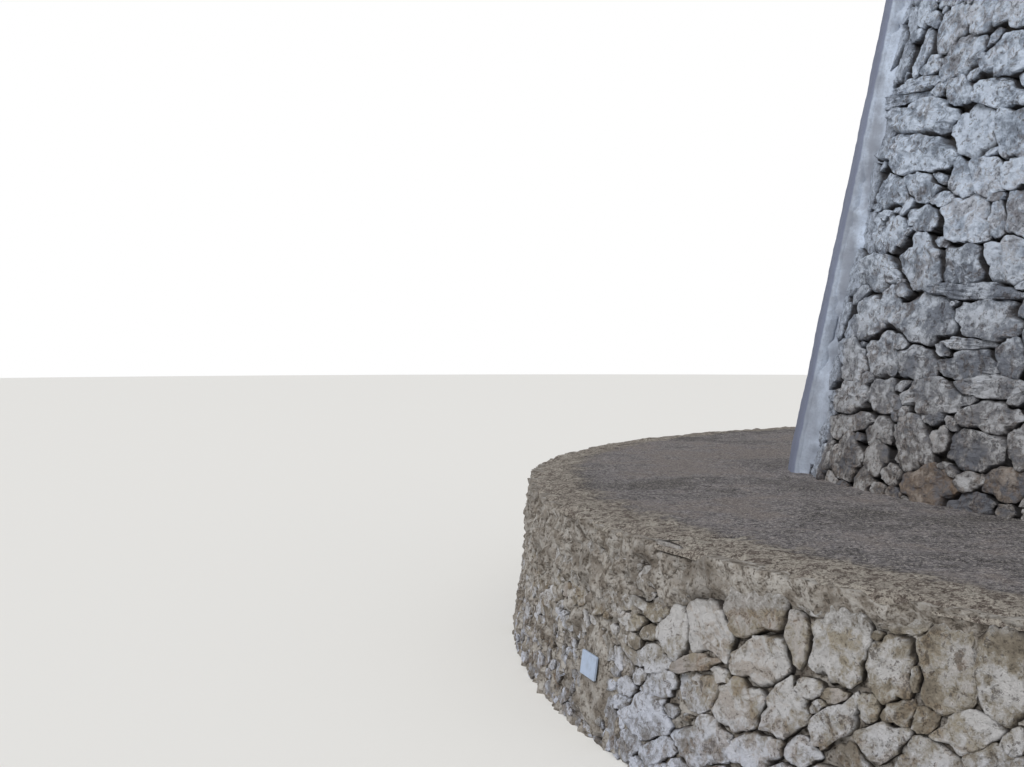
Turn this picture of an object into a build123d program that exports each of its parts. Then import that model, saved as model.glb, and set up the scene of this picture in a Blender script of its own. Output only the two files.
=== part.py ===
from build123d import *

import os
from math import cos, hypot, radians, sin, sqrt, tan

# A dry-stone trullo of the truncated kind. A low, battered ring wall carries a walkway of rough
# screed, and a battered cone of rubble stands inside the ring. The cone holds one round room under
# a corbelled dome and carries a flat screeded roof.
# Lengths are in millimetres and angles in degrees. The origin lies on the axis at paving level,
# +Z is up, and the doorway faces -Y.

# Room and corbelled dome
ROOM_RADIUS = 1750
CLOSING_RADIUS = 300
LEAF_THICKNESS = 400
COURSE_HEIGHT = 160
COURSES_PER_LOWER_RING = 3
LOWER_RINGS = 4
UPPER_RINGS = 9

# Cone wall, whose thickness is taken at walkway level and holds the leaf of the dome
CONE_THICKNESS = 1090
CONE_BATTER = 11.7
CONE_SEGMENTS = 6

# Ring wall, whose top carries the walkway
WALKWAY_WIDTH = 1455
RING_HEIGHT = 800
RING_BATTER = 7.8
RING_SEGMENTS = 6
CORRIDOR_MARGIN = 30

# Walkway screed on the ring wall, worn down towards its outer edge
SCREED_THICKNESS = 45
SCREED_SEGMENTS = 4
WORN_WIDTH = 200
WORN_DROP = 20
EDGE_ROUND = 18

# Closing slab and roof bed over the dome
CAPSTONE_THICKNESS = 120
CAPSTONE_BEARING = 220
CAPSTONE_CHAMFER = 15
FILL_OVER_CAPSTONE = 330
ROOF_SCREED = 90
ROOF_CROWN = 60
ROOF_OVERHANG = 15
ROOF_ROUND = 80

# Doorway
DOOR_BEARING = -90
DOOR_WIDTH = 850
JAMB_WIDTH = 200
JAMB_PROUD = 15
LINTEL_HEIGHT = 180
INNER_LINTEL_BEARING = 250
THRESHOLD_HEIGHT = 70
THRESHOLD_DEPTH = 380
THRESHOLD_PROUD = 40
THRESHOLD_ROUND = 12

# Rendered rib that runs up the cone
RIB_BEARING = 174
RIB_WIDTH = 180
RIB_PROUD = 80
RIB_ROUND = 35

# Blank lid of a wiring box in the ring wall
LID_BEARING = 200
LID_LEVEL = 260
LID_WIDTH = 130
LID_HEIGHT = 90
LID_THICKNESS = 8
LID_CORNER = 6
LID_EDGE = 2

# Curved faces laid against each other stay this far apart
BEDDING_GAP = 0.3

# Levels and radii that follow from the sizes above
cone_foot_radius = ROOM_RADIUS + CONE_THICKNESS
screed_bottom = RING_HEIGHT - SCREED_THICKNESS
lower_courses = LOWER_RINGS * COURSES_PER_LOWER_RING
tier_top = lower_courses * COURSE_HEIGHT
dome_top = tier_top + UPPER_RINGS * COURSE_HEIGHT
door_top = tier_top - LINTEL_HEIGHT
capstone_top = dome_top + CAPSTONE_THICKNESS
roof_screed_bottom = capstone_top + FILL_OVER_CAPSTONE
roof_edge_top = roof_screed_bottom + ROOF_SCREED
roof_top = roof_edge_top + ROOF_CROWN
frame_width = DOOR_WIDTH + 2 * JAMB_WIDTH
corridor_width = frame_width + 2 * CORRIDOR_MARGIN


def ring_radius(level):
    """Outer radius of the ring wall at a level."""
    top_radius = cone_foot_radius + WALKWAY_WIDTH
    return top_radius + (RING_HEIGHT - level) * tan(radians(RING_BATTER))


def cone_radius(level):
    """Outer radius of the cone at a level."""
    return cone_foot_radius - (level - RING_HEIGHT) * tan(radians(CONE_BATTER))


def dome_radius(level):
    """Inner radius of the room: a pointed arc that starts upright at the ground."""
    inset = ROOM_RADIUS - CLOSING_RADIUS
    arc_radius = (dome_top**2 + inset**2) / (2 * inset)
    return sqrt(arc_radius**2 - level**2) - (arc_radius - ROOM_RADIUS)


leaf_back = ROOM_RADIUS + LEAF_THICKNESS
dome_back = dome_radius(tier_top) + LEAF_THICKNESS
capstone_radius = CLOSING_RADIUS + CAPSTONE_BEARING


def outwards(bearing):
    """Level direction away from the axis along a bearing."""
    return Vector(cos(radians(bearing)), sin(radians(bearing)), 0)


def radial_plane(bearing):
    """Upright plane through the axis, with X outwards along a bearing and Y up."""
    across = outwards(bearing).cross(Vector(0, 0, 1))
    return Plane(origin=(0, 0, 0), x_dir=outwards(bearing), z_dir=across)


def level_plane(bearing, level=0):
    """Level plane on the axis, with X outwards along a bearing."""
    return Plane(origin=(0, 0, level), x_dir=outwards(bearing), z_dir=(0, 0, 1))


def segment(outline, start, arc):
    """Body swept by an outline of radius and level about the axis, from a bearing over an arc."""
    with BuildPart() as body:
        with BuildSketch(radial_plane(start)):
            with BuildLine():
                Polyline(*outline, close=True)
            make_face()
        revolve(axis=Axis.Z, revolution_arc=arc)
    return body.part


def strip(bearing, width, bottom, top, offset=0):
    """Block that runs from the axis out along a bearing as far as the ring wall's foot."""
    with BuildPart() as block:
        with BuildSketch(level_plane(bearing, bottom)):
            with Locations((0, offset)):
                Rectangle(ring_radius(0), width, align=(Align.MIN, Align.CENTER))
        extrude(amount=top - bottom)
    return block.part


def door_gap(width, bottom, top):
    """Block as wide as a gap at the doorway."""
    return strip(DOOR_BEARING, width, bottom, top)


def save(part, name):
    """Names a finished piece and writes it as one STEP file."""
    part.label = name
    export_step(part, f"parts/{name}.step")


def make_ring_wall():
    """Low outer wall of rubble in segments, open where the way to the door passes through it."""
    outline = [
        (cone_radius(0) + BEDDING_GAP, 0),
        (ring_radius(0), 0),
        (ring_radius(screed_bottom), screed_bottom),
        (cone_radius(screed_bottom) + BEDDING_GAP, screed_bottom),
    ]
    arc = 360 / RING_SEGMENTS
    for count in range(RING_SEGMENTS):
        with BuildPart() as ring_wall:
            add(segment(outline, DOOR_BEARING + count * arc, arc))
            if count in (0, RING_SEGMENTS - 1):
                add(door_gap(corridor_width, 0, RING_HEIGHT), mode=Mode.SUBTRACT)
        save(ring_wall.part, f"ring_wall_{count + 1}")


def make_walkway():
    """Screed on the ring wall, whose top falls away in a worn shoulder to a thin rounded edge."""
    arc = 360 / SCREED_SEGMENTS
    crest = (ring_radius(RING_HEIGHT) - WORN_WIDTH, RING_HEIGHT)
    edge_level = RING_HEIGHT - WORN_DROP
    edge = (ring_radius(edge_level), edge_level)
    for count in range(SCREED_SEGMENTS):
        with BuildPart() as walkway:
            with BuildSketch(radial_plane(DOOR_BEARING + count * arc)) as section:
                with BuildLine():
                    TangentArc(crest, edge, tangent=(1, 0))
                    Polyline(
                        edge,
                        (ring_radius(screed_bottom), screed_bottom),
                        (cone_radius(screed_bottom) + BEDDING_GAP, screed_bottom),
                        (cone_radius(RING_HEIGHT) + BEDDING_GAP, RING_HEIGHT),
                        crest,
                    )
                make_face()
                lip = section.vertices().sort_by(Axis.X)[-2:].sort_by(Axis.Y)[-1]
                fillet(lip, radius=EDGE_ROUND)
            revolve(axis=Axis.Z, revolution_arc=arc)
            if count in (0, SCREED_SEGMENTS - 1):
                add(door_gap(corridor_width, 0, RING_HEIGHT), mode=Mode.SUBTRACT)
        save(walkway.part, f"walkway_screed_{count + 1}")


def make_cone_walls():
    """Battered rubble wall in two tiers, the lower one open at the doorway."""
    lower_outline = [
        (leaf_back + BEDDING_GAP, 0),
        (cone_radius(0), 0),
        (cone_radius(tier_top), tier_top),
        (leaf_back + BEDDING_GAP, tier_top),
    ]
    upper_outline = [
        (dome_back + BEDDING_GAP, tier_top),
        (cone_radius(tier_top), tier_top),
        (cone_radius(roof_screed_bottom), roof_screed_bottom),
        (dome_back + BEDDING_GAP, roof_screed_bottom),
    ]
    arc = 360 / CONE_SEGMENTS
    for count in range(CONE_SEGMENTS):
        start = DOOR_BEARING + count * arc
        with BuildPart() as lower_wall:
            add(segment(lower_outline, start, arc))
            if count in (0, CONE_SEGMENTS - 1):
                add(door_gap(frame_width, 0, tier_top), mode=Mode.SUBTRACT)
        save(lower_wall.part, f"cone_wall_lower_{count + 1}")
        save(segment(upper_outline, start, arc), f"cone_wall_upper_{count + 1}")


def dome_outline(first, courses, back):
    """Stepped outline of corbelled courses up to their back: each oversails the one below."""
    steps = []
    for course in range(first, first + courses):
        reach = dome_radius((course + 1) * COURSE_HEIGHT)
        steps.append((reach, course * COURSE_HEIGHT))
        steps.append((reach, (course + 1) * COURSE_HEIGHT))
    return steps + [(back, steps[-1][1]), (back, steps[0][1])]


def lower_ring(ring):
    """Whole ring of some courses beside the doorway, before the doorway is cut."""
    outline = dome_outline(ring * COURSES_PER_LOWER_RING, COURSES_PER_LOWER_RING, leaf_back)
    return segment(outline, DOOR_BEARING + 180, 360)


def make_dome():
    """Corbelled rings of the room: the lower ones stand beside the doorway, the upper ones over it."""
    lintel_length = DOOR_WIDTH + 2 * INNER_LINTEL_BEARING
    for ring in range(LOWER_RINGS):
        with BuildPart() as dome_ring:
            add(lower_ring(ring))
            add(door_gap(DOOR_WIDTH, 0, door_top), mode=Mode.SUBTRACT)
            add(door_gap(lintel_length, door_top, tier_top), mode=Mode.SUBTRACT)
        save(dome_ring.part, f"dome_ring_{ring + 1}")

    for ring in range(UPPER_RINGS):
        outline = dome_outline(lower_courses + ring, 1, dome_back)
        save(segment(outline, DOOR_BEARING + 180, 360), f"dome_ring_{LOWER_RINGS + ring + 1}")

    with BuildPart() as inner_lintel:
        add(lower_ring(LOWER_RINGS - 1))
        add(door_gap(lintel_length, door_top, tier_top), mode=Mode.INTERSECT)
    save(inner_lintel.part, "inner_lintel")


def make_doorway():
    """Jambs and lintel that follow the batter of the cone, and a threshold slab between them."""
    outline = [
        (leaf_back + BEDDING_GAP, 0),
        (cone_radius(0) + JAMB_PROUD, 0),
        (cone_radius(tier_top) + JAMB_PROUD, tier_top),
        (leaf_back + BEDDING_GAP, tier_top),
    ]
    jamb_offset = (DOOR_WIDTH + JAMB_WIDTH) / 2
    for offset, name in ((-jamb_offset, "left_jamb"), (jamb_offset, "right_jamb")):
        with BuildPart() as jamb:
            add(segment(outline, DOOR_BEARING + 180, 360))
            add(strip(DOOR_BEARING, JAMB_WIDTH, 0, door_top, offset), mode=Mode.INTERSECT)
        save(jamb.part, name)

    with BuildPart() as door_lintel:
        add(segment(outline, DOOR_BEARING + 180, 360))
        add(door_gap(frame_width, door_top, tier_top), mode=Mode.INTERSECT)
    save(door_lintel.part, "door_lintel")

    front = cone_radius(0) + THRESHOLD_PROUD
    with BuildPart() as threshold:
        with BuildSketch(level_plane(DOOR_BEARING)):
            with Locations((front, 0)):
                Rectangle(THRESHOLD_DEPTH, DOOR_WIDTH, align=(Align.MAX, Align.CENTER))
        extrude(amount=THRESHOLD_HEIGHT)
        top_edges = threshold.edges().group_by(Axis.Z)[-1]
        nosing = top_edges.sort_by(Axis((0, 0, 0), outwards(DOOR_BEARING)))[-1]
        fillet(nosing, radius=THRESHOLD_ROUND)
    save(threshold.part, "threshold")


def make_roof():
    """Closing slab of the dome, and the roof bed cast over it with a rounded lip."""
    with BuildPart() as capstone:
        with BuildSketch(Plane.XY.offset(dome_top)):
            Circle(capstone_radius)
        extrude(amount=CAPSTONE_THICKNESS)
        chamfer(capstone.edges().group_by(Axis.Z)[-1], length=CAPSTONE_CHAMFER)
    save(capstone.part, "capstone")

    with BuildPart() as roof_bed:
        with BuildSketch(radial_plane(DOOR_BEARING)) as section:
            with BuildLine():
                roof_line = ThreePointArc(
                    (cone_radius(roof_edge_top) + ROOF_OVERHANG, roof_edge_top),
                    *crown_points(),
                )
                Polyline(
                    roof_line @ 1,
                    (0, capstone_top),
                    (capstone_radius + BEDDING_GAP, capstone_top),
                    (capstone_radius + BEDDING_GAP, dome_top),
                    (dome_back, dome_top),
                    (dome_back, roof_screed_bottom),
                    (cone_radius(roof_screed_bottom) + ROOF_OVERHANG, roof_screed_bottom),
                    roof_line @ 0,
                )
            make_face()
            outer = section.vertices().sort_by(Axis.X)[-2:].sort_by(Axis.Y)[-1]
            fillet(outer, radius=ROOF_ROUND)
        revolve(axis=Axis.Z)
    save(roof_bed.part, "roof_bed")


def crown_points():
    """Middle and end of the arc by which the roof rises from its edge to the axis."""
    reach = cone_radius(roof_edge_top) + ROOF_OVERHANG
    arc_radius = (reach**2 + ROOF_CROWN**2) / (2 * ROOF_CROWN)
    middle = reach / 2
    level = roof_top - arc_radius + sqrt(arc_radius**2 - middle**2)
    return (middle, level), (0, roof_top)


def make_rib():
    """Rounded rib of render that stands on the walkway and runs up the cone to the roof."""
    outline = [
        (cone_radius(RING_HEIGHT) + BEDDING_GAP, RING_HEIGHT),
        (cone_radius(RING_HEIGHT) + RIB_PROUD, RING_HEIGHT),
        (cone_radius(roof_screed_bottom) + RIB_PROUD, roof_screed_bottom),
        (cone_radius(roof_screed_bottom) + BEDDING_GAP, roof_screed_bottom),
    ]
    with BuildPart() as rib:
        add(segment(outline, RIB_BEARING + 180, 360))
        rib_strip = strip(RIB_BEARING, RIB_WIDTH, RING_HEIGHT, roof_screed_bottom)
        add(rib_strip, mode=Mode.INTERSECT)
        fillet(outer_corners(rib), radius=RIB_ROUND)
    save(rib.part, "rendered_rib")


def outer_corners(rib):
    """The two long edges of the rib that stand furthest from the axis."""
    long_edges = rib.edges().sort_by(SortBy.LENGTH)[-4:]
    return long_edges.sort_by(lambda edge: hypot((edge @ 0.5).X, (edge @ 0.5).Y))[-2:]


def make_lid():
    """Blank rectangular lid that lies flat on the battered ring wall."""
    bearing, lean = radians(LID_BEARING), radians(RING_BATTER)
    stand_off = ring_radius(LID_LEVEL) + BEDDING_GAP
    face = Plane(
        origin=(stand_off * cos(bearing), stand_off * sin(bearing), LID_LEVEL),
        x_dir=(-sin(bearing), cos(bearing), 0),
        z_dir=(cos(bearing) * cos(lean), sin(bearing) * cos(lean), sin(lean)),
    )
    with BuildPart() as lid:
        with BuildSketch(face):
            RectangleRounded(LID_WIDTH, LID_HEIGHT, radius=LID_CORNER)
        extrude(amount=LID_THICKNESS)
        front = lid.faces().sort_by(Axis(face.origin, face.z_dir))[-1]
        fillet(front.edges(), radius=LID_EDGE)
    save(lid.part, "wiring_box_lid")


os.makedirs("parts", exist_ok=True)
make_ring_wall()
make_walkway()
make_cone_walls()
make_dome()
make_doorway()
make_roof()
make_rib()
make_lid()
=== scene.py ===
"""Dressed model of a two-tier dry-stone trullo house.

A low ring wall of mortared rubble carries a walkway of rough screed, and a battered cone of dry rubble
stands inside it, over a round corbelled room. Every stone is a copy of one of a few quarried blocks, fitted
to its own bed in the wall. Lengths are in metres and bearings in radians, in the frame of the CAD model:
the origin lies on the axis at paving level, +Z is up and the doorway faces -Y.
"""

import logging
import math
from dataclasses import dataclass, field, replace
from enum import Enum
from typing import Callable

import bpy
import numpy as np
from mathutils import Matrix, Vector, noise


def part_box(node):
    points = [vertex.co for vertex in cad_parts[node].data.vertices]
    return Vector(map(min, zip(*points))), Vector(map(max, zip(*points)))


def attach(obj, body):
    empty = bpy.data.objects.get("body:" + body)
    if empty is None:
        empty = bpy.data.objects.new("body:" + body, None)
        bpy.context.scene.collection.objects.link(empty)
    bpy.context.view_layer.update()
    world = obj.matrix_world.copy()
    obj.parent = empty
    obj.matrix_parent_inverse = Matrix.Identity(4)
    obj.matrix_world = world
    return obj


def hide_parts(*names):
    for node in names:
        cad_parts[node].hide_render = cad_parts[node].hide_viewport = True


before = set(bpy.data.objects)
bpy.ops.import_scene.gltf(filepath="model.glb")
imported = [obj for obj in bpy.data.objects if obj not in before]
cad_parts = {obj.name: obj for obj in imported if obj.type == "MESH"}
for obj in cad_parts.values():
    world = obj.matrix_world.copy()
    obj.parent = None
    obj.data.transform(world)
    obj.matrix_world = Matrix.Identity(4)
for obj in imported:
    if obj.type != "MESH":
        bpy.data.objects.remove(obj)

LOG = logging.getLogger("trullo")

Array = np.ndarray
Draws = np.random.Generator
Piece = bpy.types.Object
Finish = bpy.types.Material
Outline = list[tuple[float, float]]
Colour = tuple[int, int, int]

TURN = 2 * math.pi
DOOR_BEARING = math.radians(-90)
RIB_BEARING = math.radians(174)

# Corners nearer than this are merged
WELD = 0.0001

# A block as it is split: half its width, its height as a share of that, and how deep a stone and its rim are
HALF_BLOCK = 0.15
BLOCK_RISE = 0.6
BLOCK_DEPTH = 0.075
RIM_DEPTH = 0.02

# Directions in which a stone looks for its neighbours, and how far it looks across and up the face
DIRECTIONS = 48
NEIGHBOURHOOD = (0.9, 0.6)

# How far a small stone looks across and up the face for the larger ones that it is wedged between
WEDGE_VIEW = (0.45, 0.35)

# A stone's longest and shortest reach, in its own half length or half height
LONGEST_REACH = 1.3
SHORTEST_REACH = 0.15


def paint(colour: Colour) -> tuple[float, float, float, float]:
    """Turn a colour as it shows on a screen, from 0 to 255, into the linear one that a shader takes."""
    shares = (value / 255 for value in colour)
    return (*(s / 12.92 if s <= 0.04045 else ((s + 0.055) / 1.055) ** 2.4 for s in shares), 1.0)


# Bench tools


def clear_bench() -> None:
    """Leave nothing selected, because an operator acts on all that is."""
    bpy.ops.object.select_all(action="DESELECT")


def add_object(name: str, data: bpy.types.ID) -> Piece:
    """Put a mesh, a camera or a lamp in the scene as a new object."""
    thing = bpy.data.objects.new(name, data)
    bpy.context.scene.collection.objects.link(thing)
    return thing


def pick(piece: Piece) -> None:
    """Select one piece alone and make it the active one."""
    clear_bench()
    piece.select_set(True)
    bpy.context.view_layer.objects.active = piece


def open_mesh(piece: Piece) -> None:
    """Pick a piece and enter edit mode with all of it selected."""
    pick(piece)
    bpy.ops.object.mode_set(mode="EDIT")
    bpy.ops.mesh.select_all(action="SELECT")


def close_mesh() -> None:
    """Turn the faces outwards and leave edit mode."""
    bpy.ops.mesh.select_all(action="SELECT")
    bpy.ops.mesh.normals_make_consistent(inside=False)
    bpy.ops.object.mode_set(mode="OBJECT")


def shape_with(piece: Piece, kind: str, **settings: object) -> None:
    """Add one modifier to a piece and apply it.

    Args:
        piece: The piece to shape.
        kind: The modifier's type, such as DISPLACE.
        **settings: The modifier's own settings by name.
    """
    pick(piece)
    modifier = piece.modifiers.new(kind.title(), kind)
    for name, value in settings.items():
        setattr(modifier, name, value)
    bpy.ops.object.modifier_apply(modifier=modifier.name)


def soften(piece: Piece, voxel: float, passes: int) -> None:
    """Remesh a closed piece in even cells and smooth it some times over."""
    shape_with(piece, "REMESH", mode="VOXEL", voxel_size=voxel)
    shape_with(piece, "SMOOTH", factor=0.5, iterations=passes)


def roughen(piece: Piece, size: float, strength: float, group: str = "", kind: str = "CLOUDS") -> None:
    """Push a surface in and out along its normals by a pattern in its own coordinates.

    Args:
        piece: The piece to roughen.
        size: Size of the lumps.
        strength: Distance from the lowest to the highest lump.
        group: Vertex group that limits it, or nothing for the whole piece.
        kind: The pattern's kind, CLOUDS or VORONOI.
    """
    pattern = bpy.data.textures.new(f"{kind.lower()}_{size:g}", kind)
    pattern.noise_scale = size
    shape_with(
        piece,
        "DISPLACE",
        texture=pattern,
        texture_coords="LOCAL",
        strength=strength,
        mid_level=0.5,
        vertex_group=group,
    )


def weather(stones: Piece, strength: float) -> None:
    """Roughen laid stones coarsely by a strength, and then finely."""
    roughen(stones, 0.14, strength)
    roughen(stones, 0.035, 0.01)


def corners_of(piece: Piece) -> Array:
    """Places of a piece's vertices, one row each."""
    corners = np.empty(len(piece.data.vertices) * 3)
    piece.data.vertices.foreach_get("co", corners)
    return corners.reshape(-1, 3)


def move_corners(piece: Piece, corners: Array) -> None:
    """Put a piece's vertices at new places, one row each."""
    piece.data.vertices.foreach_set("co", corners.ravel())
    piece.data.update()


def lumps(points: Array, size: float) -> Array:
    """Smooth random heights from about -0.5 to 0.5 that depend on the place alone, in lumps of a size."""
    return np.array([noise.noise(Vector(point) / size) for point in points]) / 1.6


def ease(values: Array | float, start: float, end: float) -> Array | float:
    """Rise smoothly from 0 at the start to 1 at the end."""
    share = np.clip((values - start) / (end - start), 0, 1)
    return share * share * (3 - 2 * share)


def between(values: Array | float, start: float, full: float, fading: float, end: float) -> Array | float:
    """Rise smoothly from 0 to 1, stay there, and fall back to 0."""
    return ease(values, start, full) * (1 - ease(values, fading, end))


def bearings_of(points: Array) -> Array:
    """Bearings of some points in degrees, from 0 to 360."""
    return np.degrees(np.arctan2(points[:, 1], points[:, 0])) % 360


def reach_of(points: Array) -> Array:
    """Distances of some points from the axis of the house."""
    return np.hypot(points[:, 0], points[:, 1])


def push_radially(points: Array, shares: Array, amounts: Array) -> None:
    """Move each of some points away from the axis by its share of its amount."""
    reach = np.maximum(reach_of(points), 1e-6)
    points[:, :2] *= (1 + shares * amounts / reach)[:, None]


def keep_value(piece: Piece, name: str, values: Array) -> None:
    """Store a value for each vertex under a name, for a material to read."""
    attribute = piece.data.attributes.new(name, "FLOAT", "POINT")
    attribute.data.foreach_set("value", values.astype(np.float32))


def group_corners(piece: Piece, name: str, chosen: Array) -> None:
    """Give a piece a vertex group of its chosen corners."""
    piece.vertex_groups.new(name=name).add(np.flatnonzero(chosen).tolist(), 1.0, "REPLACE")


def join_into(piece: Piece, *others: Piece) -> Piece:
    """Join other meshes into one piece, which keeps its name and its materials' order."""
    pick(piece)
    for other in others:
        other.select_set(True)
    if others:
        bpy.ops.object.join()
    return piece


def spread(points: Outline, spacing: float) -> Outline:
    """Divide the straight runs of an open outline so that its points lie no further apart than a spacing.

    Args:
        points: Radius and level of each point.
        spacing: The largest distance allowed.

    Returns:
        The outline with the added points.
    """
    outline = [points[0]]
    for (r0, z0), (r1, z1) in zip(points, points[1:]):
        count = max(1, math.ceil(math.hypot(r1 - r0, z1 - z0) / spacing))
        outline += [(r0 + (r1 - r0) * i / count, z0 + (z1 - z0) * i / count) for i in range(1, count + 1)]
    return outline


def rounded(centre: tuple[float, float], radius: float, start: float) -> Outline:
    """Points of an arc in a section, from an angle in degrees down to the level of its centre."""
    angles = np.linspace(math.radians(start), 0, 7)
    return [(centre[0] + radius * math.cos(a), centre[1] + radius * math.sin(a)) for a in angles]


def spin_section(name: str, outline: Outline, start: float, arc: float, steps: int, finish: Finish) -> Piece:
    """Spin a closed section about the axis of the house.

    Args:
        name: Name of the new piece.
        outline: Radius and level of each corner of the section.
        start: Bearing at which it starts.
        arc: Angle over which it is spun.
        steps: Copies of the section along the arc.
        finish: Its material.

    Returns:
        The closed body.
    """
    clear_bench()
    bpy.ops.mesh.primitive_circle_add(vertices=len(outline), fill_type="NOTHING")
    body = bpy.context.object
    body.name = name
    body.data.name = name
    for vertex, (radius, level) in zip(body.data.vertices, outline):
        vertex.co = (radius * math.cos(start), radius * math.sin(start), level)
    open_mesh(body)
    bpy.ops.mesh.spin(steps=steps, angle=-arc, center=(0, 0, 0), axis=(0, 0, 1))
    bpy.ops.mesh.select_all(action="SELECT")
    bpy.ops.mesh.remove_doubles(threshold=WELD)
    bpy.ops.mesh.delete_loose()
    bpy.ops.mesh.select_all(action="SELECT")
    bpy.ops.mesh.fill_holes(sides=0)
    close_mesh()
    body.data.materials.append(finish)
    return body


def spin_segment(
    name: str, outline: Outline, number: int, segments: int, reach: float, spacing: float, finish: Finish
) -> Piece:
    """Spin a section over one of a wall's segments, with its copies a spacing apart at a reach.

    Args:
        name: Name of the new piece.
        outline: Radius and level of each corner of the section.
        number: The segment's number.
        segments: How many segments the wall has.
        reach: Radius at which the spacing is measured.
        spacing: Distance between the section's copies.
        finish: Its finish.

    Returns:
        The new piece.
    """
    arc = TURN / segments
    start = DOOR_BEARING + (number - 1) * arc
    return spin_section(name, outline, start, arc, int(arc * reach / spacing), finish)


def cut_away(piece: Piece, place: tuple[float, float, float], side: tuple[float, float, float]) -> None:
    """Cut a closed body by a plane, drop what lies on the plane's side and close the cut."""
    open_mesh(piece)
    bpy.ops.mesh.bisect(plane_co=place, plane_no=side, use_fill=True, clear_outer=True)
    close_mesh()


def door_side(number: int, segments: int) -> int:
    """Side of the way to the door at which a segment ends: 1 at +X, -1 at -X, and 0 for none."""
    return {1: 1, segments: -1}.get(number, 0)


def cut_beside_door(piece: Piece, side: int, half: float) -> None:
    """Cut a segment off at half the width of the way to the door, if it ends at one of its sides."""
    if side:
        cut_away(piece, (side * half, 0, 0), (-side, 0, 0))


def copy_of_node(node: str, name: str) -> Piece:
    """Copy a CAD node into a new piece and merge its loose triangles."""
    piece = add_object(name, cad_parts[node].data.copy())
    piece.data.materials.clear()
    open_mesh(piece)
    bpy.ops.mesh.remove_doubles(threshold=WELD)
    bpy.ops.object.mode_set(mode="OBJECT")
    return piece


def finish_piece(piece: Piece, node: str, angle: float = 35) -> None:
    """Smooth a piece and let it stand for its CAD node.

    Args:
        piece: The finished piece.
        node: The CAD node that it replaces.
        angle: Edges sharper than this, in degrees, stay sharp.
    """
    corners = corners_of(piece)
    corners[:, 2] = np.maximum(corners[:, 2], 0.0)
    move_corners(piece, corners)
    pick(piece)
    bpy.ops.object.shade_smooth_by_angle(angle=math.radians(angle))
    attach(piece, "root")
    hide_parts(node)
    piece.data.calc_loop_triangles()
    LOG.info("%s: %d triangles", piece.name, len(piece.data.loop_triangles))


# Shaders


@dataclass(frozen=True)
class Socket:
    """One output of a shader, on which arithmetic adds Math nodes."""

    shader: "Shader"
    plug: bpy.types.NodeSocket

    def _math(self, operation: str, *values: "Socket | float") -> "Socket":
        """Add a Math node over some values."""
        return self.shader.node("ShaderNodeMath", {"operation": operation}, dict(enumerate(values)))

    def __add__(self, other: "Socket | float") -> "Socket":
        """Sum of two values."""
        return self._math("ADD", self, other)

    __radd__ = __add__

    def __sub__(self, other: "Socket | float") -> "Socket":
        """Difference of two values."""
        return self._math("SUBTRACT", self, other)

    def __rsub__(self, other: float) -> "Socket":
        """Difference with the number first."""
        return self._math("SUBTRACT", other, self)

    def __mul__(self, other: "Socket | float") -> "Socket":
        """Product of two values."""
        return self._math("MULTIPLY", self, other)

    __rmul__ = __mul__

    def clip(self, low: float, high: float, reach_low: float = 0.0, reach_high: float = 1.0) -> "Socket":
        """Map a range to another smoothly and stop at its ends.

        Args:
            low: Value that becomes reach_low.
            high: Value that becomes reach_high.
            reach_low: Lowest result.
            reach_high: Highest result.

        Returns:
            The mapped value.
        """
        settings = {"interpolation_type": "SMOOTHSTEP"}
        inputs = {"Value": self, "From Min": low, "From Max": high, "To Min": reach_low, "To Max": reach_high}
        return self.shader.node("ShaderNodeMapRange", settings, inputs)


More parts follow.
